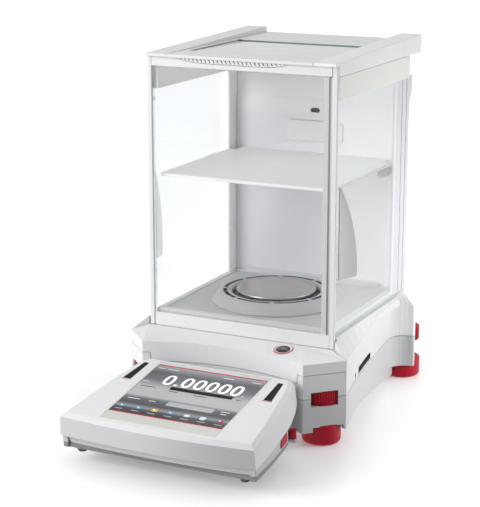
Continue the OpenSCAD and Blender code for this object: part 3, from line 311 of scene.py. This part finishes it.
# pieces whose colour differs from their slot's own: a few by their own plastic, most as lit or shaded copies with
# painted light or shade, noted at each
ownFinishAndLight = {
    "lower_housing": dict(white, colour=(0.60, 0.605, 0.615)),
    "upper_housing": dict(white, colour=(0.72, 0.72, 0.73), patches=[
        # painted shade: the pocket's white walls painted dark as the shade in the slot opening
        (inPocket, (0.06, 0.057, 0.06)),
        # painted light: the rear right flare painted lighter than the rest of the housing
        (lambda axes: ramp(axes, earLight["x"]) * ramp(axes.other(1), earLight["y"]), (0.95, 0.95, 0.955))]),
    # grey plastic with painted shade darkening it further; its slots are painted dark as the shade inside them
    "draft_ring": dict(white, colour=(0.42, 0.425, 0.435), edge=0.5, patches=[(inRingSlots, (0.02, 0.02, 0.022))]),
    # painted shadow: a dark disc on the floor plate under the ring and pan
    "floor_plate": dict(grey, colour=(0.53, 0.535, 0.54), patches=[
        (lambda axes: fromRingAxis(axes) < (ring["shadeUnderRing"] * mm) ** 2, (0.02, 0.02, 0.025))]),
    # painted light: the back wall's upper part and its right side painted lighter
    "chamber_back": dict(white, colour=(0.80, 0.80, 0.83), patches=[
        (lambda axes: ramp(axes.other(2), wall["top"]), (0.96, 0.96, 0.97)),
        (lambda axes: ramp(axes, wall["right"]), (0.98, 0.98, 0.99))]),
    # painted shade and light: the tower's right side painted darker, its left side painted lighter
    "rear_tower": dict(white, colour=(0.84, 0.84, 0.86), patches=[
        (onTowerSide(1), (0.65, 0.65, 0.685)), (onTowerSide(-1), (0.99, 0.99, 0.995))]),
    # painted light: a lighter copy of the white finish for the right rail only
    "top_rail_right": dict(white, colour=(0.86, 0.86, 0.87)),
    # painted light: the hangers wear lighter copies of the cream finish, the left one much lighter than the right
    "left_door_hanger": dict(cream, colour=(0.99, 0.99, 0.96)),
    "left_door_handle": dict(cream, colour=(0.97, 0.97, 0.93), milky=0.5),
    "right_door_hanger": dict(cream, colour=(0.82, 0.82, 0.79)),
    # painted shade: a darkened copy of the white finish for the shaded right door fin
    "right_door_handle": dict(white, colour=(0.56, 0.56, 0.565)),
    # painted shade: the frame above the door sill painted darker
    "front_frame": dict(white, patches=[
        (lambda axes: axes.other(2) > doorSill["low"] * mm, (0.60, 0.60, 0.615))]),
    # painted shade: a thin dark strip along the shelf's right end
    "shelf": dict(cream, colour=(0.93, 0.935, 0.925), patches=[
        (lambda axes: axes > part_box("shelf")[1][0] - shelfEnd["width"] * mm, (0.42, 0.42, 0.42))]),
    "wall_cover": dict(cream, colour=(0.84, 0.845, 0.845)),
    "slot_liner": dict(dark, colour=(0.06, 0.057, 0.06), rough=0.7, specular=0.1),
    "sensor_windows": dict(dark, colour=(0.014, 0.012, 0.013), rough=0.5, specular=0.1),
    # painted shade: the terminal's front darkened, more towards the right
    "terminal_top": dict(white, edge=0.0, patches=[(terminalFrontShade, (0.39, 0.39, 0.405))]),
    # grey plastic, with painted shade darkening the band under the terminal's overhang
    "terminal_bottom": dict(white, colour=(0.52, 0.52, 0.53), patches=[
        (lambda axes: axes.other(2) < terminalFront["band"] * mm, (0.22, 0.22, 0.225))]),
    "terminal_overlay": dict(cream, colour=(0.62, 0.615, 0.585), rough=0.30, bump=0.02),
    "terminal_feet": dict(rubber, colour=(0.10, 0.10, 0.10)),
}
slotMaterial = {name: mouldedPlastic(name, spec) for name, spec in finishes.items()}
slotMaterial.update({name: brushedMetal(name, spec) for name, spec in metals.items()})
ownMaterial = {name: mouldedPlastic(name + "_finish", spec) for name, spec in ownFinishAndLight.items()}

# round level: rings as shares of the outer radius
level = dict(axis=(52.0, -40.8), outer=10.0, disc=6.8, streak=(0.55, 0.56, 0.60), streakScale=90.0, turn=0.5,
             stretch=(1, 4, 1), streakFrom=(0.52, 0.75), streakShare=0.35, rough=0.29, roughSpread=0.08, specular=0.3,
             rings=[(0.0, (0.05, 0.05, 0.06)), (0.66, (0.035, 0.035, 0.045)), (0.69, (0.72, 0.72, 0.72)),
                    (0.83, (0.75, 0.74, 0.74)), (0.86, (0.62, 0.20, 0.24)), (1.0, (0.52, 0.10, 0.14))])
ownMaterial.update({name: ringedLevel(name + "_rings", level) for name in ("level_bezel", "level_vial")})

# panes: the axes across their cut edges, the gloss, and how strongly the cut edges show
allPanes = dict(edge=0.6, cut=(0.55, 0.74, 0.64), tint=(0.995, 0.998, 0.996), shine=(0.97, 0.98, 0.98), rough=0.02,
                index=1.45, smear=0.2, smearScale=9.0, smearDetail=3.0)
panes = {"front_glass": dict(edgeAxes=(0, 2), gloss=0.25, cutShare=0.10),
         "left_door_glass": dict(edgeAxes=(1, 2), gloss=0.25, cutShare=0.10, tint=(0.963, 0.969, 0.981)),
         "right_door_glass": dict(edgeAxes=(2,), gloss=0.25, cutShare=0.18, tint=(0.968, 0.973, 0.976)),
         "top_door_glass": dict(edgeAxes=(0, 1), gloss=1.7, cutShare=0.4, lipShade=(3.0, 14.0), lipShadeTint=(0.76, 0.765, 0.77))}
for name, spec in panes.items():
    ownMaterial[name] = clearPane(name + "_pane", {**allPanes, "box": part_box(name), **spec})


def wear(obj, material):
    obj.data.materials.clear()
    obj.data.materials.append(material)


for name, obj in nodes.items():
    wear(obj, ownMaterial.get(name) or slotMaterial[slotOf[name]])
print("finishes laid on", len(nodes), "nodes")


# edges: doubles merged within a distance in mm, and angles in degrees: flat below, shaded sharp above, rolled above
edges = dict(merge=0.002, flat=0.4, sharp=28.0, rolled=32.0, segments=3)


# merged copy of a node, ready to be finished in its place
def mergedCopy(name, flatten):
    mesh = nodes[name].data.copy()
    work = bmesh.new()
    work.from_mesh(mesh)
    bmesh.ops.remove_doubles(work, verts=work.verts, dist=edges["merge"] * mm)
    if flatten:
        bmesh.ops.dissolve_limit(work, angle_limit=math.radians(edges["flat"]), verts=work.verts, edges=work.edges)
    work.to_mesh(mesh)
    work.free()
    mesh.shade_smooth()
    mesh.set_sharp_from_angle(angle=math.radians(edges["sharp"]))
    piece = bpy.data.objects.new(name + "_rolled", mesh)
    bpy.context.scene.collection.objects.link(piece)
    return piece


def standFor(piece, name):
    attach(piece, bodyOf[name])
    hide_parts(name)


# moulded edges: every sharp edge rolled over
def rollEdges(name, width):
    piece = mergedCopy(name, flatten=True)
    roll = piece.modifiers.new("roll", "BEVEL")
    roll.width = width * mm
    roll.segments = edges["segments"]
    roll.limit_method = "ANGLE"
    roll.angle_limit = math.radians(edges["rolled"])
    roll.use_clamp_overlap = False
    roll.harden_normals = True
    standFor(piece, name)


# width of the roll, in mm
rolled = dict(front_post_left=0.8, front_post_right=0.8, front_frame=0.5, top_rail_left=0.3, top_rail_right=0.3,
              left_door_hanger=0.4, right_door_hanger=0.4, shelf=0.25, wall_cover=0.4, rear_tower=0.5,
              chamber_back=0.5, floor_plate=0.5, draft_ring=0.4, terminal_bottom=0.5)
for name, width in rolled.items():
    rollEdges(name, width)
print("edges rolled on", len(rolled), "pieces")

# terminal plane: x across, y up the slope from the rear edge, w above the plate
slope = dict(rear=(0.0, -70.8, 69.5), tilt=9.1)
# terminal shell: cosines to the plate's normal that part plate, bevel, wall and underside; the wall's bulge and lean;
# how much of the front's painted shade its bevel takes
shell = dict(plate=0.93, bevel=0.47, wall=-0.2, bulge=0.2, lean=0.05, bevelShare=0.35)


# crisp shell: every face shades as the plate, as a bevel at half slope, or as a wall that bulges a little in plan
def crispNormals(mesh):
    tilt = math.radians(slope["tilt"])
    up = np.array([0, -math.sin(tilt), math.cos(tilt)])
    count = len(mesh.polygons)
    normal = np.empty(count * 3)
    loops = np.empty(count, dtype=int)
    mesh.polygons.foreach_get("normal", normal)
    mesh.polygons.foreach_get("loop_total", loops)
    normal = normal.reshape(-1, 3)
    x, y = normal[:, 0], normal[:, 1]
    height = normal @ up
    isPlate, isBevel, isWall = [(height > shell[part]) for part in ("plate", "bevel", "wall")]
    bulge = np.clip(np.arctan2(x, np.abs(y) + 1e-9), -shell["bulge"], shell["bulge"])
    ends = np.abs(x) > np.abs(y)
    out = np.stack([np.where(ends, np.sign(x), np.sin(bulge)), np.where(ends, 0, np.sign(y) * np.cos(bulge)),
                    np.full(count, shell["lean"])], axis=-1)
    bevel = (out + up) / np.linalg.norm(out + up, axis=1, keepdims=True)
    crisp = np.where(isWall[:, None], out, normal)
    crisp = np.where(isBevel[:, None], bevel, crisp)
    crisp = np.where(isPlate[:, None], up, crisp)
    # share of the front's painted shade that each face takes
    share = np.where(isPlate, 0, np.where(isBevel, shell["bevelShare"], np.where(isWall, 1, 0))) * (y < 0) * ~ends
    mesh.attributes.new("front_share", "FLOAT", "FACE").data.foreach_set("value", share.astype(float))
    mesh.normals_split_custom_set(np.repeat(crisp, loops, axis=0).tolist())


terminal = mergedCopy("terminal_top", flatten=False)
crispNormals(terminal.data)
standFor(terminal, "terminal_top")
print("terminal shell shaded")


# from the terminal's plane to the whole frame: turned by the tilt about x, then moved to the plate's rear edge
def onTerminal(points):
    tilt = math.radians(slope["tilt"])
    x, y, w = points[..., 0], points[..., 1], points[..., 2]
    rear = slope["rear"]
    return np.stack([x + rear[0], rear[1] + y * math.cos(tilt) - w * math.sin(tilt),
                     rear[2] + y * math.sin(tilt) + w * math.cos(tilt)], axis=-1) * mm


def addPiece(name, points, faces, body, material):
    mesh = bpy.data.meshes.new(name)
    mesh.from_pydata(points.reshape(-1, 3).tolist(), [], faces)
    mesh.validate()
    work = bmesh.new()
    work.from_mesh(mesh)
    bmesh.ops.recalc_face_normals(work, faces=work.faces)  # all faces outwards
    work.to_mesh(mesh)
    work.free()
    piece = bpy.data.objects.new(name, mesh)
    bpy.context.scene.collection.objects.link(piece)
    wear(piece, material)
    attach(piece, body)
    return piece


# quads between the rings of a closed tube of loops, the last ring joined to the first
def loopFaces(rings, count, offset=0):
    i, j = np.meshgrid(np.arange(rings), np.arange(count), indexing="ij")
    a = i * count + j
    b = i * count + (j + 1) % count
    c = ((i + 1) % rings) * count + (j + 1) % count
    d = ((i + 1) % rings) * count + j
    return (np.stack([a, b, c, d], axis=-1).reshape(-1, 4) + offset).tolist()


# superellipse loop: x = a |cos t|^(2/n), y = b |sin t|^(2/n), signs kept
def roundLoop(half, power, count):
    t = np.arange(count) * 2 * math.pi / count
    c, s = np.cos(t), np.sin(t)
    return np.stack([half[0] * np.sign(c) * np.abs(c) ** (2 / power),
                     half[1] * np.sign(s) * np.abs(s) ** (2 / power)], axis=-1)


# screen picture: grey bands by their share of the panel's length, from its rear edge to its front edge
screen = dict(top=-13.5, length=96.0, half=57.0, low=-0.24, high=-0.15, glow=0.12, rough=0.25, roughSpread=0.06,
              specular=0.1, cellScale=2400.0, cellShare=0.08, cellTone=(0.5, 0.5, 0.5), bands=[
    (0.0, (0.34, 0.35, 0.37)), (0.12, (0.13, 0.135, 0.145)), (0.145, (0.10, 0.105, 0.115)),
    (0.15, (0.085, 0.09, 0.10)), (0.30, (0.13, 0.135, 0.15)), (0.425, (0.36, 0.37, 0.39)),
    (0.432, (0.42, 0.43, 0.44)), (0.64, (0.44, 0.445, 0.45)), (0.65, (0.30, 0.31, 0.33)),
    (0.70, (0.10, 0.105, 0.115)), (0.80, (0.06, 0.063, 0.07)), (0.86, (0.26, 0.27, 0.29)),
    (0.90, (0.05, 0.053, 0.06)), (1.0, (0.03, 0.032, 0.036))])


def screenPicture(name):
    material, wire = newMaterial(name)
    tilt = math.radians(slope["tilt"])
    rear = np.array(slope["rear"]) * mm
    # the mapping turns the panel flat: rotate by the tilt backwards, then read y from the rear edge
    flat = objectPlace(wire, turn=(-tilt, 0, 0), move=(0, -(rear[1] * math.cos(tilt) + rear[2] * math.sin(tilt)), 0))
    axes = wire.make("ShaderNodeSeparateXYZ", {}, {0: flat})
    share = (axes.other(1) * (1 / mm) - screen["top"]) * (-1 / screen["length"])
    picture = wire.make("ShaderNodeValToRGB", {"stops": screen["bands"]}, {0: share})
    cells = noise(wire, flat, screen["cellScale"], 1.0)
    shade = (cells * screen["cellShare"]).blend(picture, rgba(screen["cellTone"]))
    shader = wire.make("ShaderNodeBsdfPrincipled", {}, {
        "Base Color": shade, "Roughness": around(cells, screen["rough"], screen["roughSpread"]),
        "Specular IOR Level": screen["specular"], "Emission Color": shade, "Emission Strength": screen["glow"]})
    toSurface(wire, shader)
    return material


wear(nodes["display_panel"], screenPicture("screen_picture"))


# printed or lit colour: fine dots in the colour, a little of its own light
dotted = dict(scale=2600.0, darkest=0.94, lightest=1.04, rough=0.325, roughSpread=0.05, specular=0.05)


def screenInk(name, colour, glow):
    material, wire = newMaterial(name)
    dots = noise(wire, objectPlace(wire), dotted["scale"], 1.0)
    colour = np.array(colour)
    shade = dots.blend(rgba(colour * dotted["darkest"]), rgba(np.minimum(colour * dotted["lightest"], 1)))
    shader = wire.make("ShaderNodeBsdfPrincipled", {}, {
        "Base Color": shade, "Roughness": around(dots, dotted["rough"], dotted["roughSpread"]),
        "Specular IOR Level": dotted["specular"], "Emission Color": shade, "Emission Strength": glow})
    toSurface(wire, shader)
    return material


# colour and own light of each ink
inks = {name: screenInk("ink_" + name, colour, glow) for name, (colour, glow) in {
    "white": ((0.92, 0.93, 0.95), 0.25), "black": ((0.006, 0.006, 0.007), 0.0), "red": ((0.52, 0.01, 0.04), 0.08),
    "blue": ((0.13, 0.30, 0.48), 0.15), "amber": ((0.75, 0.46, 0.05), 0.15), "pale": ((0.62, 0.66, 0.72), 0.15),
    "silver": ((0.45, 0.46, 0.48), 0.1), "soot": ((0.05, 0.05, 0.055), 0.0)}.items()}


# flat marks on the screen: low closed rings, the loop carried round inner and outer edges; a plain mark is a ring
# with a hole too small to see
plainMark = dict(count=40, hole=0.02)


def screenMarks(name, ink, marks, lift=0.0):
    low, high = screen["low"], screen["high"] + lift
    points, faces, offset = [], [], 0
    for mark in marks:
        count = mark.get("count", plainMark["count"])
        outer = roundLoop(mark["half"], mark["power"], count)
        inner = roundLoop(mark["hole"], mark["power"], count) if "hole" in mark else outer * plainMark["hole"]
        rings = np.stack([np.column_stack([loop, np.full(count, w)])
                          for loop, w in ((inner, low), (inner, high), (outer, high), (outer, low))])
        rings[..., :2] += np.array(mark["place"])
        points.append(onTerminal(rings).reshape(-1, 3))
        faces += loopFaces(4, count, offset)
        offset += 4 * count
    addPiece(name, np.concatenate(points), faces, "base", inks[ink])


def down(share):  # place up the slope for a share of the panel's length
    return screen["top"] - share * screen["length"]


# a nought, a round point, and five more noughts
digits = dict(half=(5.3, 9.3), hole=(2.35, 6.9), power=2.5, count=56, first=-31.4, second=19.0, pitch=12.7,
              share=0.278)
point = dict(half=(1.6, 1.6), power=2.6, after=9.6)
middle = down(digits["share"])
starts = [digits["first"]] + [digits["first"] + digits["second"] + i * digits["pitch"] for i in range(5)]
row = [dict(digits, place=(x, middle)) for x in starts]
row.insert(1, dict(point, place=(digits["first"] + point["after"], middle - digits["half"][1] + point["half"][1])))
screenMarks("screen_digits", "white", row)

edgeLines = dict(shares=(0.008, 0.992), half=(screen["half"] - 0.3, 0.75), power=20.0)
screenMarks("screen_edge_lines", "red", [dict(edgeLines, place=(0, down(s))) for s in edgeLines["shares"]])
loadBar = dict(place=(8.5, down(0.425)), half=(32.0, 2.9), power=20.0)
screenMarks("screen_load_bar", "black", [loadBar])
entryField = dict(place=(11.6, down(0.715)), half=(23.5, 3.6), power=14.0)
screenMarks("screen_entry_field", "silver", [entryField])

# short strokes over the screen: place across, share of the length, half length
strokes = {"pale": [(-50, 0.07, 4.0), (-38, 0.07, 6.0), (20, 0.075, 5.5), (49, 0.075, 5.0), (-52, 0.36, 3.0),
                    (48, 0.37, 1.2), (-46, 0.715, 6.5), (-27, 0.715, 3.5), (46, 0.70, 4.5), (46, 0.74, 3.0)],
           "soot": [(-45, 0.455, 8.0), (-17, 0.485, 4.5), (10, 0.49, 6.5), (47, 0.445, 2.5)]}
stroke = dict(half=0.55, power=5.0)
for ink, group in strokes.items():
    screenMarks("screen_lines_" + ink, ink, [dict(stroke, place=(x, down(s)), half=(half, stroke["half"]))
                                             for x, s, half in group])

# icons: place across and half height, each with a small painted highlight on it, and a row of strokes below them
icons = {"blue": [(-49.5, 1.8), (-32.5, 2.34), (0.0, 2.16)], "amber": [(-16.3, 2.52)],
         "pale": [(16.2, 2.25), (32.0, 3.06)], "red": [(49.5, 1.62)]}
iconRow = dict(share=0.868, half=2.9, power=3.2)
iconHighlight = dict(move=(-0.9, 0.6), half=(1.1, 0.7), power=2.4, lift=0.03)
underStrokes = dict(across=(-50, -33.3, -16.6, 0, 16.6, 33.3, 50), share=0.935, half=(4.0, 0.5), power=5.0)
iconLine = down(iconRow["share"])
lights = []
for ink, group in icons.items():
    screenMarks("screen_icons_" + ink, ink, [dict(place=(x, iconLine), half=(iconRow["half"], h),
                                                  power=iconRow["power"]) for x, h in group])
    lights += [dict(iconHighlight, place=(x + iconHighlight["move"][0], iconLine + iconHighlight["move"][1])) for x, h in group]
screenMarks("screen_icon_highlights", "white", lights, iconHighlight["lift"])
screenMarks("screen_icon_words", "silver", [dict(underStrokes, place=(x, down(underStrokes["share"])))
                                            for x in underStrokes["across"]])
print("screen drawn")


# thin red line under each sensor window: a flat strip, its four corners carried from end to end
sensorLine = dict(width=0.7, low=-0.05, high=0.12, place=-50.2, ends=(67.4, 77.4))


def sensorLines(name):
    half, low, high = sensorLine["width"] / 2, sensorLine["low"], sensorLine["high"]
    points = np.empty((2, 2, 4, 3))  # side, end and corner
    points[..., 0] = (np.array([[1], [-1]]) * np.array(sensorLine["ends"]))[..., None]
    points[..., 1] = sensorLine["place"] + np.array([-half, half, half, -half])
    points[..., 2] = [low, low, high, high]
    strip = np.array(loopFaces(2, 4)[:4] + [[3, 2, 1, 0], [4, 5, 6, 7]])
    faces = np.concatenate([strip, strip + 8]).tolist()
    addPiece(name, onTerminal(points), faces, "base", slotMaterial["red_plastic"])


sensorLines("sensor_red_lines")
print("sensor lines drawn")


# door fins: a blade that leaves the glass at its front edge and bends outwards to a thin rear rim; up its height v
# the length falls as 1 - taper v^2.5 and the reach as 1 - thin v^2; the outer face rises as u^1.6 from the front
# edge, and the hollow back as w^2.2 from its own start; the lowest share of the height is drawn in a little
fin = dict(glass=96.55, front=-17.5, low=151.0, high=239.0, length=25.0, reach=9.0, rim=1.2, taper=0.95, thin=0.85,
           lengthPower=2.5, outerPower=1.6, backPower=2.2, backStart=0.35, footShare=0.06, footIn=0.10, sharp=40.0,
           rows=60, steps=24)


def doorFin(name, side, node):
    rows = fin["rows"]
    v = np.linspace(0, 1, rows)[:, None]
    u = np.linspace(0, 1, fin["steps"])[None, :]
    w = u[:, ::-1]
    foot = 1 - fin["footIn"] * np.clip(1 - v / fin["footShare"], 0, 1) ** 2
    length = fin["length"] * (1 - fin["taper"] * v ** fin["lengthPower"]) * foot
    reach = fin["reach"] * (1 - fin["thin"] * v ** 2)
    along = np.concatenate([length * u, length * (fin["backStart"] + (1 - fin["backStart"]) * w)], axis=1)
    out = np.concatenate([reach * u ** fin["outerPower"], (reach - fin["rim"]) * w ** fin["backPower"]], axis=1)
    up = np.broadcast_to(fin["low"] + (fin["high"] - fin["low"]) * v, along.shape)
    count = along.shape[1]
    points = np.stack([side * (fin["glass"] + out), fin["front"] + along, up], axis=-1) * mm
    faces = loopFaces(rows, count)[:(rows - 1) * count]
    faces += [list(range(count)), list(range((rows - 1) * count, rows * count))]
    piece = addPiece(name, points, faces, bodyOf[node], ownMaterial[node])
    piece.data.shade_smooth()
    piece.data.set_sharp_from_angle(angle=math.radians(fin["sharp"]))
    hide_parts(node)


doorFin("right_door_fin", 1, "right_door_handle")
doorFin("left_door_fin", -1, "left_door_handle")
print("door fins shaped")


# camera where the photograph was taken from
view = dict(place=(0.6338, -1.3158, 0.5286), yaw=26.19, pitch=14.07, lens=117.22, sensor=36.0)
cameraData = bpy.data.cameras.new("viewpoint")
cameraData.sensor_fit = "HORIZONTAL"
cameraData.sensor_width = view["sensor"]
cameraData.lens = view["lens"]
camera = bpy.data.objects.new("viewpoint", cameraData)
camera.location = view["place"]
camera.rotation_euler = (math.radians(90 - view["pitch"]), 0, math.radians(view["yaw"]))
bpy.context.scene.collection.objects.link(camera)
bpy.context.scene.camera = camera

# pale floor with a glow of its own that grows away from the balance, in metres; the weaker glow near the balance paints
# a soft shadow around it
paper = dict(half=9.0, colour=(0.90, 0.90, 0.905), glow=(0.14, 0.56), glowFrom=(0.15, 0.45), mottleScale=3.0,
             darkest=0.99, rough=0.225, roughSpread=0.05, grainScale=40.0, specular=0.3)
corners = [(x * paper["half"], y * paper["half"], 0) for x, y in ((-1, -1), (1, -1), (1, 1), (-1, 1))]
floorMesh = bpy.data.meshes.new("floor")
floorMesh.from_pydata(corners, [], [(0, 1, 2, 3)])
floor = bpy.data.objects.new("floor", floorMesh)
bpy.context.scene.collection.objects.link(floor)
floorMaterial, wire = newMaterial("floor_paper")
coords = objectPlace(wire)
spread = wire.make("ShaderNodeVectorMath", {"operation": "LENGTH"}, {0: coords}, out="Value")
glow = spread.step(*paper["glowFrom"]).blend(*[rgba([value] * 3) for value in paper["glow"]])
mottle = noise(wire, coords, paper["mottleScale"]).blend(rgba(np.array(paper["colour"]) * paper["darkest"]),
                                                         rgba(paper["colour"]))
toSurface(wire, wire.make("ShaderNodeBsdfPrincipled", {}, {
    "Base Color": mottle, "Specular IOR Level": paper["specular"], "Emission Color": glow, "Emission Strength": 1.0,
    "Roughness": around(noise(wire, coords, paper["grainScale"]), paper["rough"], paper["roughSpread"])}))
wear(floor, floorMaterial)
floor.visible_diffuse = False  # the room below the horizon lights the undersides instead


def softbox(name, spec):
    data = bpy.data.lights.new(name, "AREA")
    data.shape = "RECTANGLE"
    data.size, data.size_y = spec["size"]
    data.energy = spec["power"]
    lamp = bpy.data.objects.new(name, data)
    look = np.array(spec["aim"]) - np.array(spec["place"])
    lamp.location = spec["place"]
    lamp.rotation_euler = (math.atan2(math.hypot(look[0], look[1]), -look[2]), 0, math.atan2(-look[0], look[1]))
    lamp.visible_glossy = spec.get("glossy", True)
    bpy.context.scene.collection.objects.link(lamp)


lamps = {
    "overhead": dict(place=(0.0, 0.2, 1.6), aim=(0, 0.05, 0), size=(1.8, 1.8), power=0.3),
    "left_front": dict(place=(-0.9, -1.2, 0.75), aim=(0, -0.05, 0.15), size=(1.0, 1.0), power=17.5),
    "right_near": dict(place=(0.33, 0.15, 0.15), aim=(0.1, 0.14, 0.08), size=(0.2, 0.2), power=0.5, glossy=False),
    "right_wall": dict(place=(1.7, 0.5, 0.7), aim=(0, 0.0, 0.15), size=(1.2, 1.4), power=6.5),
}
for name, spec in lamps.items():
    softbox(name, spec)

# white room: its strength above and below the horizon, and the side where it is dim
studio = dict(high=0.71, low=0.80, horizon=(-0.1, 0.2), dim=0.05, dimFrom=(0.86, -0.51, 0.0), dimEdge=(0.40, 0.94))
world = bpy.data.worlds.new("studio")
world.use_nodes = True
world.node_tree.nodes.clear()
room = Wire(world.node_tree)
ray = room.make("ShaderNodeTexCoord", out="Generated")
facing = room.make("ShaderNodeVectorMath", {"operation": "DOT_PRODUCT"}, {0: ray, 1: studio["dimFrom"]}, out="Value")
height = room.make("ShaderNodeSeparateXYZ", {}, {0: ray}, out=2)
strength = height.step(*studio["horizon"]) * (studio["high"] - studio["low"]) + studio["low"]
mirrored = room.make("ShaderNodeLightPath", out="Is Glossy Ray")  # reflections see the whole white room
strength = strength * (facing.step(*studio["dimEdge"]) * (1.0 - mirrored) * (studio["dim"] - 1.0) + 1.0)
strength = room.sum("MAXIMUM", strength, mirrored.other("Is Camera Ray"))  # plain white where the room itself shows
back = room.make("ShaderNodeBackground", {}, {"Color": (1.0, 1.0, 1.0, 1.0), "Strength": strength})
room.make("ShaderNodeOutputWorld", {}, {"Surface": back})
bpy.context.scene.world = world
bpy.context.scene.view_settings.view_transform = "Standard"
print("camera and light set")
